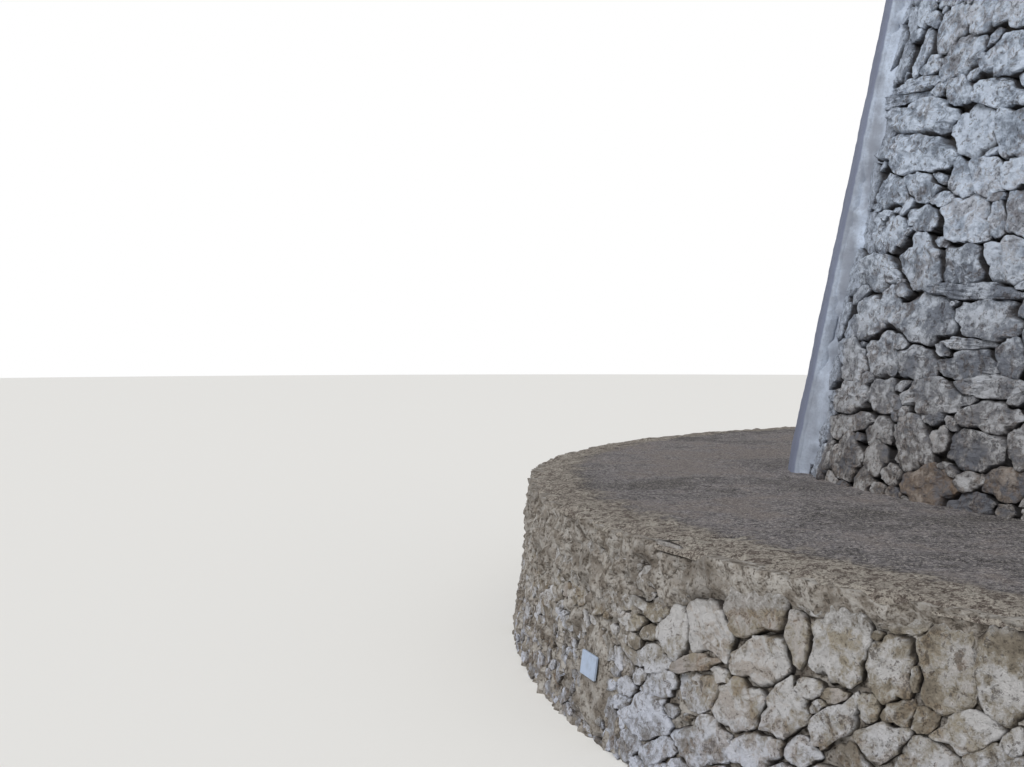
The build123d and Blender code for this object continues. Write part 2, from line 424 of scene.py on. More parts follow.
class Shader:
    """A material under construction."""

    def __init__(self, name: str) -> None:
        """Start an empty material.

        Args:
            name: The material's name.
        """
        self.material = bpy.data.materials.new(name)
        self.material.use_nodes = True
        self.tree = self.material.node_tree
        self.tree.nodes.clear()
        self.place = self.node("ShaderNodeTexCoord", {}, {}, "Object")

    def node(
        self,
        kind: str,
        settings: dict[str, object],
        inputs: dict[str | int, object],
        output: str | int = 0,
    ) -> Socket:
        """Add a node.

        Args:
            kind: The node's type.
            settings: Its own settings, which are set first.
            inputs: Values or sockets for its inputs, by name or number.
            output: The output that is returned, by name or number.

        Returns:
            That output.
        """
        node = self.tree.nodes.new(kind)
        for name, value in settings.items():
            setattr(node, name, value)
        for key, value in inputs.items():
            if isinstance(value, Socket):
                self.tree.links.new(value.plug, node.inputs[key])
            else:
                node.inputs[key].default_value = value
        return Socket(self, node.outputs[output])

    def noise(
        self,
        size: float,
        detail: float = 4.0,
        rough: float = 0.6,
        warp: float = 0.0,
        shift: Socket | None = None,
    ) -> Socket:
        """Cloudy pattern from 0 to 1, with lumps of a size in metres.

        Args:
            size: Size of the lumps.
            detail: Number of finer layers.
            rough: How strong the finer layers are.
            warp: How far the pattern is twisted.
            shift: Value that gives each stone its own part of the pattern.

        Returns:
            The pattern.
        """
        inputs = {"Vector": self.place, "Scale": 1 / size, "Detail": detail, "Roughness": rough}
        inputs["Distortion"] = warp
        if shift is None:
            return self.node("ShaderNodeTexNoise", {}, inputs, "Fac")
        return self.node("ShaderNodeTexNoise", {"noise_dimensions": "4D"}, {**inputs, "W": shift}, "Fac")

    def attribute(self, name: str) -> Socket:
        """Value that the mesh carries under a name."""
        return self.node("ShaderNodeAttribute", {"attribute_name": name}, {}, "Fac")

    def level(self) -> Socket:
        """Height above the paving."""
        return self.node("ShaderNodeSeparateXYZ", {}, {0: self.place}, "Z")

    def mix(self, share: Socket | float, first: Socket | Colour, second: Socket | Colour) -> Socket:
        """Mix two colours, of which the second takes a share."""
        colours = (end if isinstance(end, Socket) else paint(end) for end in (first, second))
        return self.node("ShaderNodeMix", {"data_type": "RGBA"}, {0: share, **dict(zip((6, 7), colours))}, 2)

    def finish(self, colour: Socket, roughness: Socket | float, height: Socket, depth: float) -> Finish:
        """Close the material with its surface.

        Args:
            colour: Base colour.
            roughness: Roughness.
            height: Fine relief, as a height of about 0 to 1.
            depth: Distance that a height of 1 stands for.

        Returns:
            The material.
        """
        bump = {"Strength": 1.0, "Distance": depth, "Height": height}
        normal = self.node("ShaderNodeBump", {}, bump, "Normal")
        inputs = {"Base Color": colour, "Roughness": roughness, "Normal": normal, "Specular IOR Level": 0.25}
        surface = self.node("ShaderNodeBsdfPrincipled", {}, inputs, "BSDF")
        self.node_out(surface)
        return self.material

    def node_out(self, surface: Socket) -> None:
        """Link the surface to the material's output."""
        out = self.tree.nodes.new("ShaderNodeOutputMaterial")
        self.tree.links.new(surface.plug, out.inputs["Surface"])


@dataclass(frozen=True)
class Limestone:
    """Weathered rubble: a pale crust on a grey body, with lichen, ochre stains and soil in the joints.

    Attributes:
        head: The stones' colour high on the wall.
        foot: Their colour low on it.
        low_crust: Colour of the crust low on the wall.
        smear: Mortar or render that is smeared over them.
        foot_level: Level up to which the low colours hold.
        head_level: Level from which the high ones hold.
        bleached: How much more crust there is high on the wall.
        ochre: How strong the stains are.
    """

    name: str
    head: Colour
    body: Colour
    crust: Colour
    low_crust: Colour
    lichen: Colour
    rust: Colour
    soil: Colour
    foot: Colour
    smear: Colour
    foot_level: float
    head_level: float
    bleached: float = 0.0
    ochre: float = 0.3

    def mix(self) -> Finish:
        """Build the material."""
        shader = Shader(self.name)
        tone = shader.attribute("stone_tone")
        warmth = shader.attribute("stone_warmth")
        depth = shader.attribute("joint_depth")
        level = shader.level()

        broad = shader.noise(0.45, 3.0)
        own = tone * 3.0
        cloudy = shader.noise(0.12, 5.0, 0.6, 0.4, own)
        mottle = shader.noise(0.03, 6.0, 0.7, 0.3, own)
        speck = shader.noise(0.011, 5.0, 0.75)
        grain = shader.noise(0.0045, 3.0, 0.7)
        veins = shader.noise(0.055, 4.0, 0.6, 1.2, own)
        face = 1 - depth.clip(0.0, 0.35)

        height = (level + broad * 0.6 - 0.3).clip(self.foot_level, self.head_level)
        colour = shader.mix(height, self.foot, self.head)
        shade = (cloudy * 0.6 + mottle * 0.4 + tone * 0.05 + face * 0.05).clip(0.43, 0.6)
        colour = shader.mix(shade, shader.mix(0.75, colour, self.body), colour)
        flecked = mottle * 0.35 + speck * 0.15 + cloudy * 0.5
        flecked = flecked + tone * 0.02 + height * self.bleached + face * 0.05
        crust = flecked.clip(0.52, 0.61)
        colour = shader.mix(crust * 0.9, colour, shader.mix(height, self.low_crust, self.crust))
        tinted = (broad * 0.4 + veins * 0.6).clip(0.5, 0.58)
        colour = shader.mix(tinted * self.ochre, colour, self.rust)
        spots = (speck * 0.5 + veins * 0.5 - tone * 0.01 - face * 0.01).clip(0.52, 0.57)
        colour = shader.mix(spots * 0.7, colour, self.lichen)
        stained = (warmth * 0.3 + mottle * 0.6 + cloudy * 0.4).clip(0.58, 0.8) * warmth.clip(0.0, 0.25)
        colour = shader.mix(stained * 0.5, colour, self.rust)
        smeared = shader.attribute("mortar_smear") * 1.3 + cloudy * 0.9 + mottle * 0.3 - 0.6
        daub = shader.mix((speck * 0.5 + mottle * 0.5).clip(0.5, 0.6), self.smear, self.crust)
        daub = shader.mix(1 - (speck * 0.4 + mottle * 0.6).clip(0.4, 0.5), daub, self.body)
        colour = shader.mix(smeared.clip(0.25, 0.75) * 0.75, colour, daub)
        pitted = 1 - (grain * 0.3 + speck * 0.4 + mottle * 0.3).clip(0.38, 0.46)
        colour = shader.mix(pitted * 0.5, colour, self.soil)
        colour = shader.mix(depth.clip(0.0, 0.45) * 0.92, colour, self.soil)

        bumps = mottle * 1.3 + speck * 0.6 + grain * 0.15 + crust * 0.1 - spots * 0.12 - pitted * 0.12
        return shader.finish(colour, speck.clip(0.3, 0.7, 0.8, 0.96), bumps, 0.022)


@dataclass(frozen=True)
class Mortar:
    """Lime mortar or earth that fills a wall behind its stones, smeared, pitted and stained."""

    name: str
    pale: Colour
    dark: Colour
    crust: Colour
    stain: Colour
    grit: float = 0.006

    def mix(self) -> Finish:
        """Build the material."""
        shader = Shader(self.name)
        broad = shader.noise(0.3, 4.0)
        cloudy = shader.noise(0.065, 6.0, 0.6, 0.1)
        mottle = shader.noise(0.024, 5.0, 0.6)
        fine = shader.noise(0.009, 4.0, 0.65)
        depth = shader.attribute("joint_depth")

        colour = shader.mix((cloudy * 0.5 + mottle * 0.5).clip(0.38, 0.62), self.dark, self.pale)
        crusted = (mottle * 0.3 + fine * 0.3 + cloudy * 0.4).clip(0.46, 0.62)
        colour = shader.mix(crusted * 0.6, colour, self.crust)
        stained = (broad * 0.5 + mottle * 0.3 + fine * 0.2).clip(0.5, 0.62)
        colour = shader.mix(stained * 0.5, colour, self.stain)
        pitted = 1 - (fine * 0.6 + mottle * 0.4).clip(0.38, 0.46)
        colour = shader.mix(pitted * 0.6, colour, self.stain)
        colour = shader.mix(depth * 0.85, colour, self.stain)
        bumps = cloudy * 0.9 + mottle + fine * 0.7 - pitted * 0.3
        return shader.finish(colour, fine.clip(0.3, 0.7, 0.85, 0.97), bumps, self.grit)


@dataclass(frozen=True)
class Screed:
    """Old trowelled screed with grit, stains and a paler, worn lip."""

    name: str
    pale: Colour
    dark: Colour
    brown: Colour
    worn: Colour
    crust: Colour
    litter: Colour

    def mix(self) -> Finish:
        """Build the material."""
        shader = Shader(self.name)
        broad = shader.noise(0.9, 4.0, 0.6)
        cloudy = shader.noise(0.16, 6.0, 0.65, 0.6)
        mottle = shader.noise(0.04, 6.0, 0.7)
        fine = shader.noise(0.012, 5.0, 0.75)
        grain = shader.noise(0.005, 3.0, 0.7)
        wear = shader.attribute("lip_wear")

        ground = (fine * 0.4 + mottle * 0.2 + cloudy * 0.25 + broad * 0.4).clip(0.54, 0.7)
        colour = shader.mix(ground, self.dark, self.pale)
        colour = shader.mix((broad * 0.6 + cloudy * 0.4).clip(0.47, 0.57) * 0.6, colour, self.brown)
        band = shader.mix((mottle * 0.6 + fine * 0.4).clip(0.45, 0.54), self.brown, self.worn)
        band = shader.mix((cloudy * 0.5 + fine * 0.5).clip(0.52, 0.57) * 0.7, band, self.crust)
        worn = (wear + cloudy * 1.6 + mottle * 1.2 - 1.4).clip(0.25, 0.75)
        colour = shader.mix(worn, colour, band)
        colour = shader.mix((grain * 0.5 + fine * 0.5).clip(0.52, 0.57) * 0.6, colour, self.crust)
        pitted = 1 - (fine * 0.5 + grain * 0.5).clip(0.4, 0.46)
        colour = shader.mix(pitted * 0.6, colour, self.litter)
        bumps = cloudy * 0.9 + mottle * (1 + worn) + fine * 0.6 + grain * 0.2 - pitted * 0.3
        return shader.finish(colour, fine.clip(0.3, 0.7, 0.8, 0.96), bumps, 0.011)


@dataclass(frozen=True)
class Render:
    """Smooth lime render, streaked by rain, with painted shade on its outer face."""

    name: str
    pale: Colour
    streak: Colour
    painted_shade: Colour

    def mix(self) -> Finish:
        """Build the material."""
        shader = Shader(self.name)
        stretched = shader.node("ShaderNodeMapping", {}, {"Vector": shader.place, "Scale": (9.0, 9.0, 1.2)})
        inputs = {"Vector": stretched, "Scale": 1.0, "Detail": 5.0}
        streaks = shader.node("ShaderNodeTexNoise", {}, inputs, "Fac")
        cloudy = shader.noise(0.1, 5.0)
        fine = shader.noise(0.012, 5.0, 0.7)
        rising = (shader.level() + cloudy * 0.8 - 0.4).clip(0.8, 2.2, 0.35, 1.0)
        colour = shader.mix((streaks * 0.6 + cloudy * 0.4).clip(0.36, 0.6) * rising, self.streak, self.pale)
        colour = shader.mix(fine.clip(0.48, 0.64) * 0.45, colour, self.streak)
        # Painted shade: darken the faces that the rib marks as its shaded side
        shaded = (shader.attribute("shaded_side") + cloudy * 0.5 - 0.25).clip(0.1, 0.8)
        colour = shader.mix(shaded * 0.9, colour, self.painted_shade)
        bumps = cloudy * 0.8 + fine * 0.6
        return shader.finish(colour, fine.clip(0.3, 0.7, 0.75, 0.92), bumps, 0.006)


@dataclass(frozen=True)
class DullPlastic:
    """Weathered pale plastic with a film of dust."""

    name: str
    pale: Colour
    dust: Colour

    def mix(self) -> Finish:
        """Build the material."""
        shader = Shader(self.name)
        cloudy = shader.noise(0.03, 4.0)
        fine = shader.noise(0.002, 3.0)
        colour = shader.mix(cloudy.clip(0.4, 0.75) * 0.5, self.pale, self.dust)
        return shader.finish(colour, cloudy.clip(0.3, 0.7, 0.45, 0.65), fine, 0.0003)


# Blocks and stones


class Grade(Enum):
    """How finely a stone is cut, as the number of its triangles, by how near it is seen."""

    NEAR = 900
    FAR = 170
    SMALL = 84


@dataclass
class Block:
    """A rough block, face up: its corners about the middle of its face, and its triangles."""

    corners: Array
    triangles: Array


@dataclass
class Quarry:
    """Yard where a few blocks are split and roughened, which all the stones are copied from.

    Attributes:
        blocks: How many blocks are split.
        seed: Start of the random draws.
        chips: Fewest and most corners that are knocked off a block.
        voxel: Size of the cells in which a block is remeshed.
        stock: The finished blocks by grade.
    """

    blocks: int = 12
    seed: int = 11
    chips: tuple[int, int] = (6, 11)
    voxel: float = 0.0085
    stock: dict[Grade, list[Block]] = field(default_factory=dict)

    def open(self) -> None:
        """Split every block and keep it in each grade."""
        self.stock = {grade: [] for grade in Grade}
        for number in range(self.blocks):
            bench = 3.0 * (number + 1)
            block = self.split(number, bench)
            for grade in Grade:
                self.stock[grade].append(self.decimated(block, grade, bench))
            bpy.data.objects.remove(block)
        LOG.info("quarry: %d blocks", self.blocks)

    def split(self, number: int, bench: float) -> Piece:
        """Square a block roughly, knock its rim off in places and weather it.

        Args:
            number: The block's number.
            bench: Where it lies along X, so that each block takes another part of the patterns.

        Returns:
            The block, with far more faces than a stone needs.
        """
        rng = np.random.default_rng((self.seed, number))
        clear_bench()
        bpy.ops.mesh.primitive_cube_add(size=2 * HALF_BLOCK, location=(bench, 0, 0))
        block = bpy.context.object
        bpy.ops.object.transform_apply(location=True)
        open_mesh(block)
        bpy.ops.transform.resize(value=(1.0, 1.0, BLOCK_RISE))
        bpy.ops.object.mode_set(mode="OBJECT")
        self.round_corners(block, rng)
        top = BLOCK_RISE * HALF_BLOCK
        for _ in range(rng.integers(*self.chips)):
            turn = rng.uniform(0, TURN)
            lift = math.radians(rng.uniform(12, 60))
            reach = HALF_BLOCK * rng.uniform(0.93, 1.16)
            place = (bench + reach * math.cos(turn), reach * math.sin(turn), top - rng.uniform(0.0, 0.03))
            side = (math.cos(turn) * math.cos(lift), math.sin(turn) * math.cos(lift), math.sin(lift))
            cut_away(block, place, side)
        soften(block, self.voxel, 1)
        roughen(block, 0.11, 0.016)
        roughen(block, 0.06, 0.018, kind="VORONOI")
        roughen(block, 0.025, 0.009)
        cut_away(block, (bench, 0, top - BLOCK_DEPTH), (0, 0, -1))
        return block

    def round_corners(self, block: Piece, rng: Draws) -> None:
        """Bevel the four upright edges, each by its own width.

        Args:
            block: The block.
            rng: What the widths are drawn from.
        """
        mesh = block.data
        for x_side, y_side in ((-1, -1), (-1, 1), (1, -1), (1, 1)):
            places = corners_of(block)
            places -= places.mean(axis=0)
            chosen = set()
            for edge in mesh.edges:
                ends = places[list(edge.vertices)]
                upright = abs(ends[0, 2] - ends[1, 2]) > HALF_BLOCK
                edge.select = bool(upright and (ends[:, :2] * (x_side, y_side) > 0).all())
                if edge.select:
                    chosen.update(edge.vertices)
            for polygon in mesh.polygons:
                polygon.select = False
            for vertex in mesh.vertices:
                vertex.select = vertex.index in chosen
            pick(block)
            bpy.ops.object.mode_set(mode="EDIT")
            bpy.ops.mesh.select_mode(type="EDGE")
            bpy.ops.mesh.bevel(offset=rng.uniform(0.015, 0.06), segments=2, affect="EDGES")
            bpy.ops.object.mode_set(mode="OBJECT")

    def decimated(self, block: Piece, grade: Grade, bench: float) -> Block:
        """Copy a block with the number of triangles of a grade.

        Args:
            block: The finished block.
            grade: The grade.
            bench: Where the block lies along X.

        Returns:
            Its corners, with the middle of the face at the origin, and its triangles.
        """
        copy = add_object("block", block.data.copy())
        copy.data.calc_loop_triangles()
        shape_with(copy, "DECIMATE", ratio=grade.value / len(copy.data.loop_triangles))
        shape_with(copy, "TRIANGULATE")
        corners = corners_of(copy) - (bench, 0, 0)
        face = corners[reach_of(corners) < 0.6 * HALF_BLOCK]
        corners[:, 2] -= np.median(face[face[:, 2] > 0, 2])
        triangles = np.array([polygon.vertices[:] for polygon in copy.data.polygons])
        bpy.data.objects.remove(copy)
        return Block(corners, triangles)


@dataclass(frozen=True)
class RoundFace:
    """Round, battered face of a wall, on which a place is given by bearing and by height along the slope."""

    foot_radius: float
    top_radius: float
    foot: float
    top: float
    inward: bool = False

    @property
    def length(self) -> float:
        """Length of the face up its slope."""
        return math.hypot(self.top - self.foot, self.foot_radius - self.top_radius)

    @property
    def upright(self) -> float:
        """Cosine of the batter."""
        return (self.top - self.foot) / self.length

    def along(self, level: float) -> float:
        """Height up the slope at a level."""
        return (level - self.foot) / self.upright

    def level(self, along: Array | float) -> Array | float:
        """Level at a height up the slope."""
        return self.foot + along * self.upright

    def radius(self, along: Array | float) -> Array | float:
        """Radius at a height up the slope."""
        return self.foot_radius + (self.top_radius - self.foot_radius) * along / self.length

    def span(self, across: Array | float, along: Array | float) -> Array | float:
        """Metres that an angle takes at a height."""
        return ((across + math.pi) % TURN - math.pi) * self.radius(along)

    def place(self, across: Array, along: Array, proud: Array) -> Array:
        """Points in the house's frame.

        Args:
            across: Bearings, which count backwards on an inward face.
            along: Heights up the slope.
            proud: Distances in front of the face.

        Returns:
            One row for each point.
        """
        side = -1 if self.inward else 1
        lean = (self.foot_radius - self.top_radius) / self.length
        reach = self.radius(along) + side * proud * self.upright
        level = self.level(along) + side * proud * lean
        return np.column_stack((reach * np.cos(side * across), reach * np.sin(side * across), level))


@dataclass(frozen=True)
class FlatFace:
    """Flat upright face of a wall, on which a place is given by metres across and up."""

    origin: Vector
    right: Vector
    normal: Vector

    def radius(self, along: Array | float) -> float:
        """Metres for each unit across."""
        return 1.0

    def level(self, along: Array | float) -> Array | float:
        """Level at a height."""
        return self.origin.z + along

    def span(self, across: Array | float, along: Array | float) -> Array | float:
        """Metres across."""
        return across

    def place(self, across: Array, along: Array, proud: Array) -> Array:
        """Points in the house's frame, from metres across, up and in front of the face."""
        across_part = np.outer(across, self.right)
        up_part = np.outer(along, (0, 0, 1))
        return np.array(self.origin) + across_part + up_part + np.outer(proud, self.normal)


@dataclass(frozen=True)
class Seen:
    """A stone as the photograph shows it, by pixels of its 1024 x 767 frame.

    Attributes:
        x: Column of its middle, from the left.
        y: Row of its middle, from the top.
        w: Its width.
        h: Its height.
        lean: Turn of its long side in degrees, anticlockwise.
        warmth: Ochre stain, from 0 to 1.
        tone: Paler than its neighbours above 0, and darker below.
    """

    x: float
    y: float
    w: float
    h: float
    lean: float = 0.0
    warmth: float = 0.0
    tone: float = 0.0


@dataclass(frozen=True)
class PhotoView:
    """Place from which the house was photographed: level, and facing +Y.

    Attributes:
        eye: The camera's place.
        focal: Focal length in pixels.
        columns: Width of the photograph.
        rows: Height of the photograph.
        horizon: Row of the horizon.
        sensor: Width of the sensor in millimetres.
    """

    eye: tuple[float, float, float] = (-4.40, -5.65, 1.45)
    focal: float = 1100.0
    columns: int = 1024
    rows: int = 767
    horizon: float = 350.0
    sensor: float = 36.0

    def set_up(self) -> None:
        """Make the camera and let the scene use it."""
        data = bpy.data.cameras.new("photo_view")
        data.sensor_width = self.sensor
        data.lens = self.focal * self.sensor / self.columns
        data.shift_y = (self.horizon - self.rows / 2) / self.columns
        data.clip_end = 200
        camera = add_object("photo_view", data)
        camera.location = self.eye
        camera.rotation_euler = (math.radians(90), 0, 0)
        bpy.context.scene.camera = camera

    def cast(self, face: RoundFace, column: float, row: float) -> tuple[float, float] | None:
        """Find where the ray through a pixel meets a round face.

        Args:
            face: The face.
            column: The pixel's column.
            row: The pixel's row.

        Returns:
            Bearing and height up the slope, or None where the ray misses.
        """
        ray = np.array([(column - self.columns / 2) / self.focal, 1.0, (self.horizon - row) / self.focal])
        eye = np.array(self.eye)
        slope = (face.top_radius - face.foot_radius) / (face.top - face.foot)
        base = face.foot_radius + slope * (eye[2] - face.foot)
        rise = slope * ray[2]
        square = ray[0] ** 2 + ray[1] ** 2 - rise**2
        half = eye[0] * ray[0] + eye[1] * ray[1] - base * rise
        rest = eye[0] ** 2 + eye[1] ** 2 - base**2
        inside = half**2 - square * rest
        if inside < 0:
            return None
        hit = eye + ray * (-half - math.sqrt(inside)) / square
        return math.atan2(hit[1], hit[0]), face.along(hit[2])


@dataclass
class Bed:
    """Seat of one stone in a face.

    Attributes:
        across: Place of its middle across the face.
        along: Place of its middle up the face.
        axes: Half its length and half its height, as the columns of a matrix in metres.
        warmth: Ochre stain, from 0 to 1.
        tone: Paler above 0 and darker below.
        sunk: Distance of its face behind the wall's.
        grade: How finely it is cut.
    """

    across: float
    along: float
    axes: Array
    warmth: float = 0.0
    tone: float = 0.0
    sunk: float = 0.0
    grade: Grade = Grade.FAR


def turned(angle: float, half_length: float, half_height: float) -> Array:
    """Axes of a stone with its long side turned by an angle."""
    cos, sin = math.cos(angle), math.sin(angle)
    return np.array([[cos, -sin], [sin, cos]]) @ np.diag([half_length, half_height])


def squareness(turns: Array) -> Array:
    """How much nearer the side of a rounded square lies in some directions than its corner circle."""
    return (np.abs(turns) ** 6).sum(axis=1) ** (1 / 6)


def stop_between(limit: Array, steps: Array, ahead: float, behind: float) -> Array:
    """Stop some rays at two straight borders.

    Args:
        limit: How far each may reach.
        steps: How far each goes ahead for each unit of its reach.
        ahead: Distance of the border ahead.
        behind: Distance of the one behind, below 0.

    Returns:
        The new limits.
    """
    with np.errstate(divide="ignore", invalid="ignore"):
        limit = np.where(steps > 1e-6, np.minimum(limit, ahead / steps), limit)
        return np.where(steps < -1e-6, np.minimum(limit, behind / steps), limit)


@dataclass(frozen=True)
class Gap:
    """Part of a face that stays free of stones: a doorway, a lintel or a rib.

    Attributes:
        across: Its middle.
        half_width: Half its width in metres.
        low: Its lower end up the face.
        high: Its upper end up the face.
    """

    across: float
    half_width: float
    low: float
    high: float


@dataclass(frozen=True)
class Bond:
    """The way in which a mason lays a wall.

    Attributes:
        course: Lowest and highest course.
        length: Shortest and longest stone.
        wander: How far stones leave their course, as a share of its height.
        lean: Typical tilt of a stone in radians.
        joint: Narrowest and widest joint.
        shim: Clearance between stones that gets a small stone, or 0 for none.
        sunk: Typical distance of a stone's face from the wall's.
        tilt: Typical turn of a stone's face out of the wall's, as a slope.
        warm: Share of stones with an ochre stain.
        seed: Start of the random draws.
    """

    course: tuple[float, float]
    length: tuple[float, float]
    wander: float = 0.15
    lean: float = 0.12
    joint: tuple[float, float] = (0.006, 0.014)
    shim: float = 0.02
    sunk: float = 0.006
    tilt: float = 0.05
    warm: float = 0.08
    seed: int = 1


@dataclass
class Stonework:
    """Stones of one face, laid in their beds.

    Attributes:
        face: The face.
        bond: The way in which it is laid.
        start: Where the stones start across the face.
        end: Where they end across the face.
        low: Their lower limit up the face.
        high: Their upper limit up the face.
        gaps: Parts that stay free.
        closed: Whether the face runs all the way round.
        smear: How far mortar is smeared over a place, from 0 to 1.
        beds: The stones' beds.
    """

    face: RoundFace | FlatFace
    bond: Bond
    start: float
    end: float
    low: float
    high: float
    gaps: list[Gap] = field(default_factory=list)
    closed: bool = False
    smear: Callable[[Array], Array] | None = None
    beds: list[Bed] = field(default_factory=list)

    def see(self, view: PhotoView, seen: tuple[Seen, ...]) -> None:
        """Put the stones of the photograph in their places.

        Args:
            view: The photograph's view.
            seen: The stones.
        """
        step = 2
        for stone in seen:
            moves = ((0, 0), (step, 0), (0, step))
            spots = [view.cast(self.face, stone.x + right, stone.y - up) for right, up in moves]
            if None in spots:
                LOG.warning("stone at %g, %g misses the face", stone.x, stone.y)
                continue
            (across, along), *nearby = spots
            pixels = np.array([[self.face.span(a - across, along), b - along] for a, b in nearby]).T / step
            shape = turned(math.radians(stone.lean), stone.w / 2, stone.h / 2)
            left, sizes, _ = np.linalg.svd(pixels @ shape)
            swap = abs(left[0, 0]) < abs(left[0, 1])
            axes = (left * sizes)[:, ::-1] if swap else left * sizes
            axes *= np.sign(np.diag(axes))
            self.beds.append(Bed(across, along, axes, stone.warmth, stone.tone))

    def course(self) -> None:
        """Fill the face with rough courses of random stones, round those that are already there."""
        rng = np.random.default_rng(self.bond.seed)
        seen = list(self.beds)
        heights = []
        while sum(heights) < self.high - self.low:
            heights.append(rng.uniform(*self.bond.course))
        heights = np.array(heights) * (self.high - self.low) / sum(heights)
        floor = self.low
        for height in heights:
            middle = floor + height / 2
            radius = self.face.radius(middle)
            lengths = []
            while sum(lengths) < (self.end - self.start) * radius:
                lengths.append(rng.uniform(*self.bond.length))
            lengths = np.array(lengths) * (self.end - self.start) * radius / sum(lengths)
            cursor = self.start + (rng.uniform(0, 1) if self.closed else 0)
            for length in lengths:
                across = cursor + length / 2 / radius
                cursor += length / radius
                along = middle + rng.normal() * self.bond.wander * height
                along = float(np.clip(along, self.low + 0.03, self.high - 0.03))
                size = rng.uniform(0.82, 1.1, 2)
                axes = turned(rng.normal() * self.bond.lean, size[0] * length / 2, size[1] * height / 2)
                bed = Bed(across, along, axes)
                if self.free(bed) and not self.crowded(bed, seen):
                    self.beds.append(bed)
            floor += height

    def free(self, bed: Bed) -> bool:
        """Whether a bed's middle lies in no gap."""
        for gap in self.gaps:
            sideways = abs(self.face.span(gap.across - bed.across, bed.along))
            if sideways < gap.half_width + 0.02 and gap.low - 0.02 < bed.along < gap.high + 0.02:
                return False
        return True

    def crowded(self, bed: Bed, seen: list[Bed], margin: float = 1.45) -> bool:
        """Whether a bed's middle lies on or close to a stone of the photograph."""
        for other in seen:
            sideways = self.face.span(bed.across - other.across, other.along)
            offset = np.array([sideways, bed.along - other.along])
            if abs(offset).max() < 0.5 and np.linalg.norm(np.linalg.solve(other.axes, offset)) < margin:
                return True
        return False

    def places(self) -> tuple[Array, Array, Array, Array]:
        """Middles and axes of all the beds as arrays, and the inverse of the axes."""
        across = np.array([bed.across for bed in self.beds])
        along = np.array([bed.along for bed in self.beds])
        axes = np.array([bed.axes for bed in self.beds])
        return across, along, axes, np.linalg.inv(axes)

    def wedge(self, spacing: float = 0.045) -> None:
        """Drive small stones into the clearances that the larger ones leave."""
        rng = np.random.default_rng(self.bond.seed + 1)
        places = self.places()
        columns = int(self.face.radius(self.low) * (self.end - self.start) / spacing)
        rows = int((self.high - self.low) / spacing)
        found = []
        for row in range(rows):
            for column in range(columns):
                side = self.start + (column + rng.uniform(0, 1)) / columns * (self.end - self.start)
                up = self.low + (row + rng.uniform(0, 1)) * spacing
                clearance = self.clearance(places, side, up)
                if clearance > self.bond.shim:
                    found.append((clearance, side, up))
        taken = []
        for clearance, side, up in sorted(found, reverse=True):
            bed = Bed(side, up, turned(rng.normal() * 0.4, 1.6 * clearance, 0.8 * clearance))
            apart = all(
                math.hypot(self.face.span(side - s, up), up - u) > 1.2 * (clearance + c) for c, s, u in taken
            )
            if apart and self.free(bed):
                taken.append((clearance, side, up))
                bed.grade = Grade.SMALL
                self.beds.append(bed)

    def clearance(self, places: tuple[Array, ...], side: float, up: float) -> float:
        """Distance from a place to the nearest stone or limit, or 0 where no stone is near.

        Args:
            places: What places() gave.
            side: The place across the face.
            up: The place up the face.

        Returns:
            The distance.
        """
        across, along, _, inverse = places
        near = np.flatnonzero(np.abs(along - up) < WEDGE_VIEW[1])
        sideways = self.face.span(side - across[near], up)
        close = np.abs(sideways) < WEDGE_VIEW[0]
        near, sideways = near[close], sideways[close]
        if len(near) == 0:
            return 0.0
        offset = np.column_stack((sideways, up - along[near]))
        share = np.linalg.norm(np.einsum("nij,nj->ni", inverse[near], offset), axis=1)
        clearance = ((1 - 1 / np.maximum(share, 1e-6)) * np.linalg.norm(offset, axis=1)).min()
        return min(clearance, up - self.low, self.high - up)

    def reach(self, index: int, places: tuple[Array, ...], turns: Array, joint: float) -> Array:
        """Outline of one stone's cell: how far it reaches in each direction before it meets a neighbour.

        A border lies as far from both stones, each distance counted in that stone's half length and height.

        Args:
            index: The bed's number.
            places: What places() gave.
            turns: Unit directions in the stone's own axes, one row each.
            joint: Width of the joint round the stone.

        Returns:
            The reach in each direction, in the stone's own half length or half height.
        """
        across, along, axes, inverse = places
        side, up = across[index], along[index]
        rays = turns @ axes[index].T
        limit = LONGEST_REACH / squareness(turns)
        limit = stop_between(limit, rays[:, 1], self.high - up, self.low - up)
        if not self.closed:
            radius = self.face.radius(up)
            limit = stop_between(limit, rays[:, 0], (self.end - side) * radius, (self.start - side) * radius)
        for gap in self.gaps:
            limit = np.minimum(limit, self.before_gap(gap, rays, side, up))

        sideways = self.face.span(across - side, up)
        near = (np.abs(sideways) < NEIGHBOURHOOD[0]) & (np.abs(along - up) < NEIGHBOURHOOD[1])
        near[index] = False
        offset = np.column_stack((sideways[near], along[near] - up))
        ray_in = np.einsum("nij,kj->kni", inverse[near], rays)
        offset_in = np.einsum("nij,nj->ni", inverse[near], offset)
        square = (ray_in**2).sum(axis=2)
        cross = (ray_in * offset_in).sum(axis=2)
        rest = (offset_in**2).sum(axis=1)
        inside = cross**2 + (1 - square) * rest
        bottom = cross + np.sqrt(np.maximum(inside, 0))
        meets = (inside >= 0) & (bottom > 1e-9)
        border = np.where(meets, rest / np.where(meets, bottom, 1), np.inf)
        reach = np.minimum(limit, border.min(axis=1, initial=np.inf))
        reach = np.minimum(reach * 1.02, (np.roll(reach, 1) + 2 * reach + np.roll(reach, -1)) / 4)
        return np.maximum(reach - joint / 2 / np.linalg.norm(rays, axis=1), SHORTEST_REACH)

